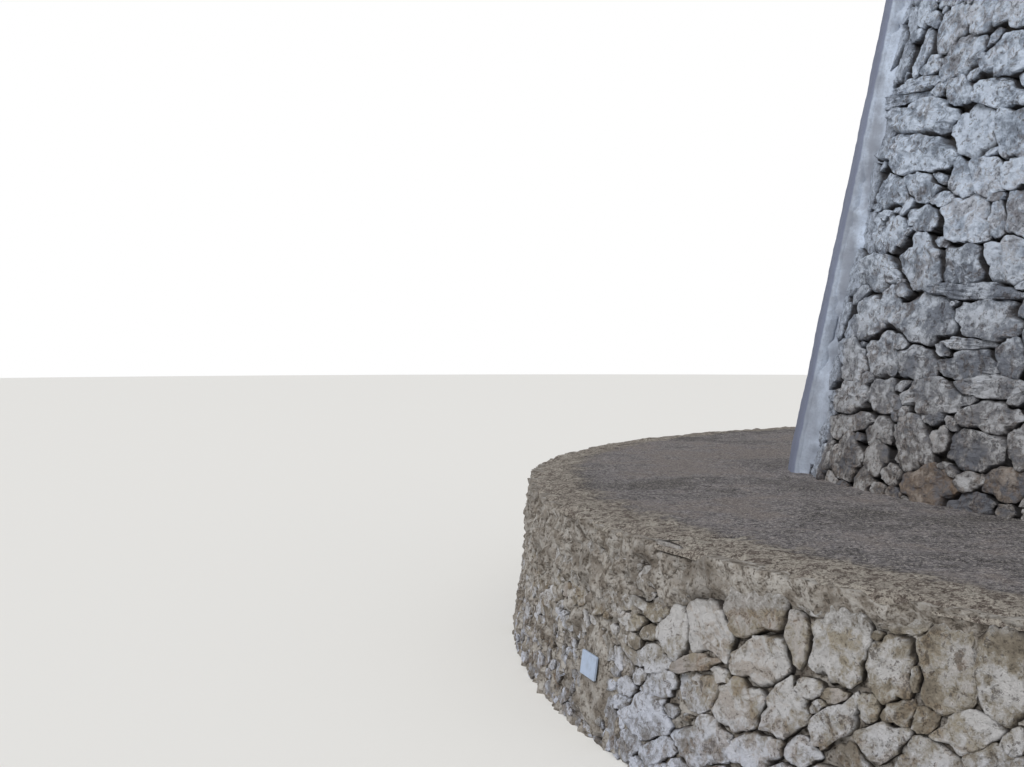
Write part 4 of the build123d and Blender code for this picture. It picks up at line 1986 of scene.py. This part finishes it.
@dataclass
class Dome:
    """Corbelled dome over the round room: rings of slabs, each course oversailing the one below.

    Attributes:
        quarry: Where the slabs come from.
        door: Sizes of the doorway.
        stone: Finish of the slabs.
        earth: Finish of what lies behind their joints.
        bond: The way in which a course is laid.
        cheek_bond: The way in which the cheeks of the doorway are laid.
        seen_below: Level below which its stones are seen closely from the doorway.
        room: Radius of the room at the paving.
        closing: Radius of the hole under the closing slab.
        course: Height of a course.
        lower_rings: Rings beside the doorway, of three courses each.
        rings: Number of all the rings.
        recess: Depth of the earth behind the slabs' faces.
        steps: Copies of the earth's section round the axis.
    """

    quarry: Quarry
    door: DoorOpening
    stone: Finish
    earth: Finish
    bond: Bond = Bond(
        course=(0.14, 0.18), length=(0.17, 0.42), wander=0.04, lean=0.05, joint=(0.006, 0.013),
        sunk=0.008, warm=0.1, seed=60,
    )
    cheek_bond: Bond = Bond(
        course=(0.14, 0.18), length=(0.18, 0.4), wander=0.04, lean=0.05, joint=(0.006, 0.012),
        tilt=0.03, warm=0.1, seed=90,
    )
    seen_below: float = 1.2
    room: float = 1.75
    closing: float = 0.3
    course: float = 0.16
    lower_rings: int = 4
    rings: int = 13
    recess: float = 0.035
    steps: int = 96

    def build(self) -> None:
        """Build every ring."""
        for ring in range(1, self.rings + 1):
            low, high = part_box(f"dome_ring_{ring}")
            first = round(low.z / self.course)
            courses = round((high.z - low.z) / self.course)
            slabs = [self.lay_course(index) for index in range(first, first + courses)]
            if ring <= self.lower_rings:
                slabs += [self.cheek(side, low.z, min(high.z, self.door.head)) for side in (1, -1)]
            joined = join_into(*slabs, self.core(ring, first, courses))
            joined.name = f"dome_slabs_{ring}"
            finish_piece(joined, f"dome_ring_{ring}")

    def reach(self, course: int) -> float:
        """Inner radius of a course, on a pointed arc that starts upright at the paving."""
        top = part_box(f"dome_ring_{self.rings}")[1].z
        inset = self.room - self.closing
        arc = (top**2 + inset**2) / (2 * inset)
        return math.sqrt(arc**2 - ((course + 1) * self.course) ** 2) - (arc - self.room)

    def lay_course(self, course: int) -> Piece:
        """Lay the slabs of one course."""
        radius = self.reach(course)
        foot = course * self.course
        face = RoundFace(radius, radius, foot, foot + self.course, inward=True)
        bond = replace(self.bond, seed=self.bond.seed + course)
        work = Stonework(face, bond, 0, TURN, 0.002, self.course - 0.002, closed=True)
        if foot < self.door.head:
            work.gaps.append(Gap(-DOOR_BEARING, self.door.half_width, -1, self.door.head - foot))
        if foot + self.course > self.door.head and foot < self.door.lintel_top:
            lintel = (self.door.head - foot, self.door.lintel_top - foot)
            work.gaps.append(Gap(-DOOR_BEARING, self.door.inner_half, *lintel))
        work.course()
        for bed in work.beds:
            bed.grade = Grade.FAR if foot < self.seen_below else Grade.SMALL
        return work.lay(self.quarry, f"dome_course_{course + 1}", self.stone)

    def cheek(self, side: int, foot: float, head: float) -> Piece:
        """Slabs on the cheek of the doorway through one ring."""
        reach = self.reach(round(foot / self.course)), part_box("dome_ring_1")[1].x
        bond = replace(self.cheek_bond, seed=self.cheek_bond.seed + side)
        work = course_cheek(bond, side, self.door.half_width, reach, (foot, head), 0.001)
        return work.lay(self.quarry, "door_cheek", self.stone)

    def core(self, ring: int, first: int, courses: int) -> Piece:
        """Stepped body of earth and packing behind the slabs of one ring.

        Args:
            ring: The ring's number.
            first: Its lowest course.
            courses: How many courses it has.

        Returns:
            The body.
        """
        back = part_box(f"dome_ring_{ring}")[1].x
        outline = [(back, first * self.course)]
        for course in range(first, first + courses):
            inner = self.reach(course) + self.recess
            outline += [(inner, course * self.course), (inner, (course + 1) * self.course)]
        outline.append((back, outline[-1][1]))
        core = spin_section(f"dome_packing_{ring}", outline, 0, TURN, self.steps, self.earth)
        if ring <= self.lower_rings:
            self.cut_opening(core, self.door.half_width + 0.03, -0.1, self.door.head)
        if ring == self.lower_rings:
            self.cut_opening(core, self.door.inner_half, self.door.head - 0.01, self.door.lintel_top + 0.1)
        return core

    def cut_opening(self, core: Piece, half: float, low: float, high: float) -> None:
        """Cut a passage towards the door out of a ring, between two levels.

        Args:
            core: The ring.
            half: Half the passage's width.
            low: Its lowest level.
            high: Its highest level.
        """
        clear_bench()
        bpy.ops.mesh.primitive_cube_add(size=1, location=(0, -1.6, (low + high) / 2))
        cutter = bpy.context.object
        cutter.scale = (2 * half, 2.4, high - low)
        bpy.ops.object.transform_apply(scale=True)
        shape_with(core, "BOOLEAN", object=cutter, operation="DIFFERENCE", solver="EXACT")
        bpy.data.objects.remove(cutter)


@dataclass
class DoorFrame:
    """Jambs, lintels and threshold of roughly dressed blocks, and the closing slab of the dome.

    Attributes:
        stone: Its finish.
        voxel: Size of the cells in which a block is remeshed.
        joint: Width of the joint between two blocks.
        share: Share of a block's faces that is kept.
    """

    stone: Finish
    voxel: float = 0.012
    joint: float = 0.008
    share: float = 0.16

    def build(self) -> None:
        """Build every piece."""
        heights = {"left_jamb": (0.42, 0.78, 1.2, 1.48), "right_jamb": (0.36, 0.84, 1.14, 1.5)}
        for node in ("left_jamb", "right_jamb", "door_lintel", "inner_lintel", "threshold", "capstone"):
            piece = join_into(*self.blocks(node, heights.get(node, ())))
            piece.name = f"dressed_{node}"
            piece.data.materials.append(self.stone)
            finish_piece(piece, node, 45)

    def blocks(self, node: str, cuts: tuple[float, ...]) -> list[Piece]:
        """Cut a node into blocks and rough each one.

        Args:
            node: The CAD node.
            cuts: Levels of the joints.

        Returns:
            The blocks.
        """
        blocks = []
        for low, high in zip((None, *cuts), (*cuts, None)):
            block = copy_of_node(node, "block")
            if low is not None:
                cut_away(block, (0, 0, low + self.joint / 2), (0, 0, -1))
            if high is not None:
                cut_away(block, (0, 0, high - self.joint / 2), (0, 0, 1))
            soften(block, self.voxel, 3)
            roughen(block, 0.1, 0.014)
            roughen(block, 0.03, 0.007)
            shape_with(block, "DECIMATE", ratio=self.share)
            blocks.append(block)
        return blocks


@dataclass
class Studio:
    """Pale floor, white surroundings and one large soft lamp."""

    floor_colour: Colour = (232, 231, 228)
    fill: float = 0.5
    sun: float = 2.1
    sun_angle: float = 32.0

    def set_up(self) -> None:
        """Make the floor, the surroundings and the lamp."""
        self.lay_floor()
        self.light_world()
        lamp = bpy.data.lights.new("soft_sun", "SUN")
        lamp.energy = self.sun
        lamp.angle = math.radians(self.sun_angle)
        towards = Vector((0.52, 0.56, -0.75))
        add_object("soft_sun", lamp).rotation_euler = towards.to_track_quat("-Z", "Y").to_euler()
        bpy.context.scene.view_settings.view_transform = "Standard"

    def lay_floor(self) -> None:
        """Lay a wide pale disc at paving level."""
        clear_bench()
        bpy.ops.mesh.primitive_circle_add(vertices=64, radius=60, fill_type="NGON")
        floor = bpy.context.object
        floor.name = "studio_floor"
        shader = Shader("studio_floor")
        inputs = {"Base Color": paint(self.floor_colour), "Roughness": 0.9}
        shader.node_out(shader.node("ShaderNodeBsdfPrincipled", {}, inputs, "BSDF"))
        floor.data.materials.append(shader.material)

    def light_world(self) -> None:
        """Light evenly from all round, and show white to the camera."""
        world = bpy.data.worlds.new("studio")
        bpy.context.scene.world = world
        world.use_nodes = True
        tree = world.node_tree
        tree.nodes.clear()
        path = tree.nodes.new("ShaderNodeLightPath")
        blend = tree.nodes.new("ShaderNodeMixShader")
        out = tree.nodes.new("ShaderNodeOutputWorld")
        tree.links.new(path.outputs["Is Camera Ray"], blend.inputs[0])
        for number, strength in ((1, self.fill), (2, 1.0)):
            light = tree.nodes.new("ShaderNodeBackground")
            light.inputs["Strength"].default_value = strength
            light.inputs["Color"].default_value = (1, 1, 1, 1)
            tree.links.new(light.outputs[0], blend.inputs[number])
        tree.links.new(blend.outputs[0], out.inputs["Surface"])


# Stones that the photograph shows, by their middles and sizes in its pixels

CONE_STONES = (
    Seen(x=970, y=130, w=49, h=50, tone=2.2),
    Seen(x=912, y=115, w=67, h=41),
    Seen(x=909, y=152, w=73, h=43),
    Seen(x=958, y=178, w=24, h=46, tone=0.3),
    Seen(x=984, y=175, w=36, h=36, tone=1.2),
    Seen(x=962, y=219, w=46, h=54, tone=2.4),
    Seen(x=918, y=260, w=58, h=54),
    Seen(x=959, y=264, w=50, h=50, tone=-0.7),
    Seen(x=1005, y=260, w=50, h=45, tone=1.4),
    Seen(x=967, y=290, w=92, h=18, tone=-0.6),
    Seen(x=922, y=317, w=55, h=52),
    Seen(x=980, y=318, w=61, h=44),
    Seen(x=964, y=364, w=61, h=29),
    Seen(x=913, y=361, w=38, h=34),
    Seen(x=990, y=387, w=64, h=21),
    Seen(x=928, y=397, w=58, h=35),
    Seen(x=988, y=418, w=61, h=38),
    Seen(x=907, y=441, w=43, h=49),
    Seen(x=970, y=449, w=70, h=43, tone=-1.0),
    Seen(x=925, y=486, w=49, h=37, warmth=0.8, tone=-1.5),
    Seen(x=966, y=505, w=50, h=26, tone=-1.6),
    Seen(x=954, y=88, w=30, h=30),
    Seen(x=998, y=90, w=52, h=30),
    Seen(x=1012, y=133, w=40, h=48),
    Seen(x=1014, y=173, w=34, h=30, tone=2.0),
    Seen(x=1018, y=210, w=30, h=48),
    Seen(x=996, y=219, w=17, h=34),
    Seen(x=886, y=190, w=27, h=34),
    Seen(x=917, y=185, w=30, h=34, lean=40),
    Seen(x=921, y=217, w=35, h=28),
    Seen(x=893, y=232, w=22, h=36),
    Seen(x=868, y=232, w=28, h=40),
    Seen(x=872, y=270, w=36, h=34),
    Seen(x=938, y=242, w=16, h=16),
    Seen(x=888, y=306, w=17, h=34),
    Seen(x=868, y=318, w=26, h=48),
    Seen(x=848, y=361, w=30, h=40),
    Seen(x=877, y=353, w=30, h=46),
    Seen(x=1012, y=358, w=36, h=34),
    Seen(x=965, y=343, w=50, h=12),
    Seen(x=844, y=396, w=38, h=30),
    Seen(x=880, y=398, w=32, h=36),
    Seen(x=860, y=421, w=38, h=18),
    Seen(x=932, y=418, w=26, h=12),
    Seen(x=937, y=440, w=24, h=28, warmth=0.3),
    Seen(x=1018, y=445, w=28, h=48),
    Seen(x=966, y=480, w=30, h=20),
    Seen(x=1003, y=484, w=44, h=32, warmth=0.6, tone=-1.2),
    Seen(x=1003, y=511, w=20, h=16),
    Seen(x=890, y=473, w=16, h=18),
    Seen(x=890, y=495, w=18, h=14, warmth=0.5),
    Seen(x=905, y=88, w=56, h=16, lean=20),
    Seen(x=895, y=100, w=50, h=14, lean=20),
)
# The raised tones, 1.6 and more, of the stones in the left part of the frame are partly painted light: that
# part of the wall lies out of a cast shadow, and its stones are also whiter
RING_STONES = (
    Seen(x=834, y=648, w=68, h=73, tone=2.2),
    Seen(x=886, y=669, w=51, h=66, tone=-0.9),
    Seen(x=944, y=669, w=60, h=84, warmth=0.3, tone=-0.6),
    Seen(x=1000, y=676, w=48, h=108),
    Seen(x=796, y=639, w=25, h=52, warmth=0.5, tone=1.6),
    Seen(x=757, y=658, w=54, h=56, warmth=0.3, tone=2.6),
    Seen(x=708, y=632, w=46, h=66, tone=4.2),
    Seen(x=670, y=628, w=30, h=56, tone=1.6),
    Seen(x=652, y=660, w=30, h=24, tone=1.6),
    Seen(x=695, y=663, w=50, h=22, lean=15, tone=1.6),
    Seen(x=657, y=684, w=36, h=24, tone=1.6),
    Seen(x=689, y=688, w=44, h=46, tone=1.6),
    Seen(x=735, y=707, w=52, h=54, tone=2.6),
    Seen(x=784, y=706, w=73, h=40, lean=45, tone=1.6),
    Seen(x=803, y=689, w=32, h=24, tone=1.6),
    Seen(x=832, y=724, w=70, h=32, lean=50),
    Seen(x=834, y=697, w=28, h=18),
    Seen(x=866, y=708, w=26, h=34),
    Seen(x=895, y=715, w=36, h=30),
    Seen(x=922, y=721, w=33, h=29),
    Seen(x=913, y=678, w=12, h=26),
    Seen(x=968, y=733, w=78, h=40, tone=1.6),
    Seen(x=885, y=744, w=52, h=46),
    Seen(x=750, y=750, w=50, h=38, tone=3.1),
    Seen(x=699, y=742, w=52, h=48, tone=1.6),
    Seen(x=656, y=752, w=32, h=30, tone=1.6),
    Seen(x=801, y=753, w=34, h=28, tone=1.6),
    Seen(x=1010, y=748, w=30, h=36),
    Seen(x=896, y=622, w=50, h=26),
    Seen(x=876, y=636, w=12, h=12),
    Seen(x=657, y=540, w=40, h=16, warmth=0.7, tone=1.6),
    Seen(x=651, y=576, w=24, h=22, tone=1.6),
    Seen(x=686, y=583, w=12, h=36, lean=-25, tone=1.6),
    Seen(x=629, y=620, w=30, h=24, tone=1.6),
    Seen(x=623, y=687, w=14, h=22, tone=1.6),
    Seen(x=642, y=718, w=42, h=42, tone=1.6),
    Seen(x=623, y=743, w=28, h=30, tone=1.6),
)


def main() -> None:
    """Build the house, its finishes, the studio and the camera."""
    logging.basicConfig(level=logging.INFO, format="%(name)s: %(message)s")
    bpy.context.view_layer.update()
    view = PhotoView()
    view.set_up()
    Studio().set_up()
    door = DoorOpening.measure()
    quarry = Quarry()
    quarry.open()

    # The blue tint of the cone's colours, strongest in head, crust and smear, is partly painted light: the
    # cool cast of open shade, over a grey-blue stone
    cone_stone = Limestone(
        "cone_limestone",
        head=(181, 195, 215),
        body=(112, 118, 130),
        crust=(220, 232, 250),
        low_crust=(192, 191, 192),
        lichen=(66, 69, 77),
        rust=(140, 114, 84),
        soil=(58, 55, 55),
        foot=(130, 121, 112),
        smear=(178, 188, 205),
        foot_level=0.7,
        head_level=2.3,
        bleached=0.02,
    ).mix()
    # The bluish-white low crust and the grey foot are partly painted light: light thrown up from the paving
    # onto the wall's foot, over pale crust
    ring_stone = Limestone(
        "ring_limestone",
        head=(177, 168, 152),
        body=(113, 104, 92),
        crust=(210, 209, 210),
        low_crust=(216, 221, 235),
        lichen=(78, 72, 66),
        rust=(142, 118, 90),
        soil=(52, 46, 42),
        foot=(156, 155, 158),
        smear=(166, 163, 160),
        foot_level=0.1,
        head_level=0.5,
        ochre=0.38,
    ).mix()
    dome_stone = Limestone(
        "dome_limestone",
        head=(176, 170, 158),
        body=(118, 110, 98),
        crust=(206, 202, 194),
        low_crust=(190, 184, 172),
        lichen=(92, 86, 78),
        rust=(140, 116, 88),
        soil=(58, 52, 46),
        foot=(150, 142, 130),
        smear=(164, 156, 142),
        foot_level=0.3,
        head_level=2.2,
    ).mix()
    dressed = Limestone(
        "dressed_limestone",
        head=(178, 174, 168),
        body=(124, 118, 108),
        crust=(208, 206, 202),
        low_crust=(192, 188, 180),
        lichen=(96, 92, 86),
        rust=(146, 120, 90),
        soil=(64, 58, 50),
        foot=(160, 154, 144),
        smear=(164, 156, 142),
        foot_level=0.1,
        head_level=1.2,
    ).mix()
    earth = Mortar("packed_earth", (70, 66, 62), (42, 39, 36), (84, 80, 76), (30, 27, 24)).mix()
    mortar = Mortar(
        "lime_mortar",
        pale=(164, 158, 150),
        dark=(118, 110, 101),
        crust=(190, 188, 186),
        stain=(70, 62, 54),
        grit=0.014,
    ).mix()
    # The screed's dark colours are partly painted shade: they keep its top as dark as a shadow cast over the
    # walkway makes it, over an old, dark screed
    screed = Screed(
        "old_screed",
        pale=(147, 143, 147),
        dark=(85, 82, 83),
        brown=(110, 100, 93),
        worn=(158, 151, 142),
        crust=(184, 178, 168),
        litter=(46, 38, 32),
    ).mix()
    # The blue tint of the render's and the lid's colours is partly painted light: the cool cast of open shade
    render = Render("lime_render", (190, 202, 220), (140, 146, 158), (108, 114, 134)).mix()
    lid_plastic = DullPlastic("lid_plastic", (160, 174, 196), (140, 148, 160)).mix()

    RingWall(quarry, view, door, RING_STONES, ring_stone, mortar).build()
    Walkway(door, screed).build()
    ConeWall(quarry, view, door, CONE_STONES, cone_stone, earth).build()
    RenderedRib(render).build()
    Roof(screed).build()
    Dome(quarry, door, dome_stone, earth).build()
    DoorFrame(dressed).build()
    dress_lid(lid_plastic)


if __name__ == "__main__":
    main()
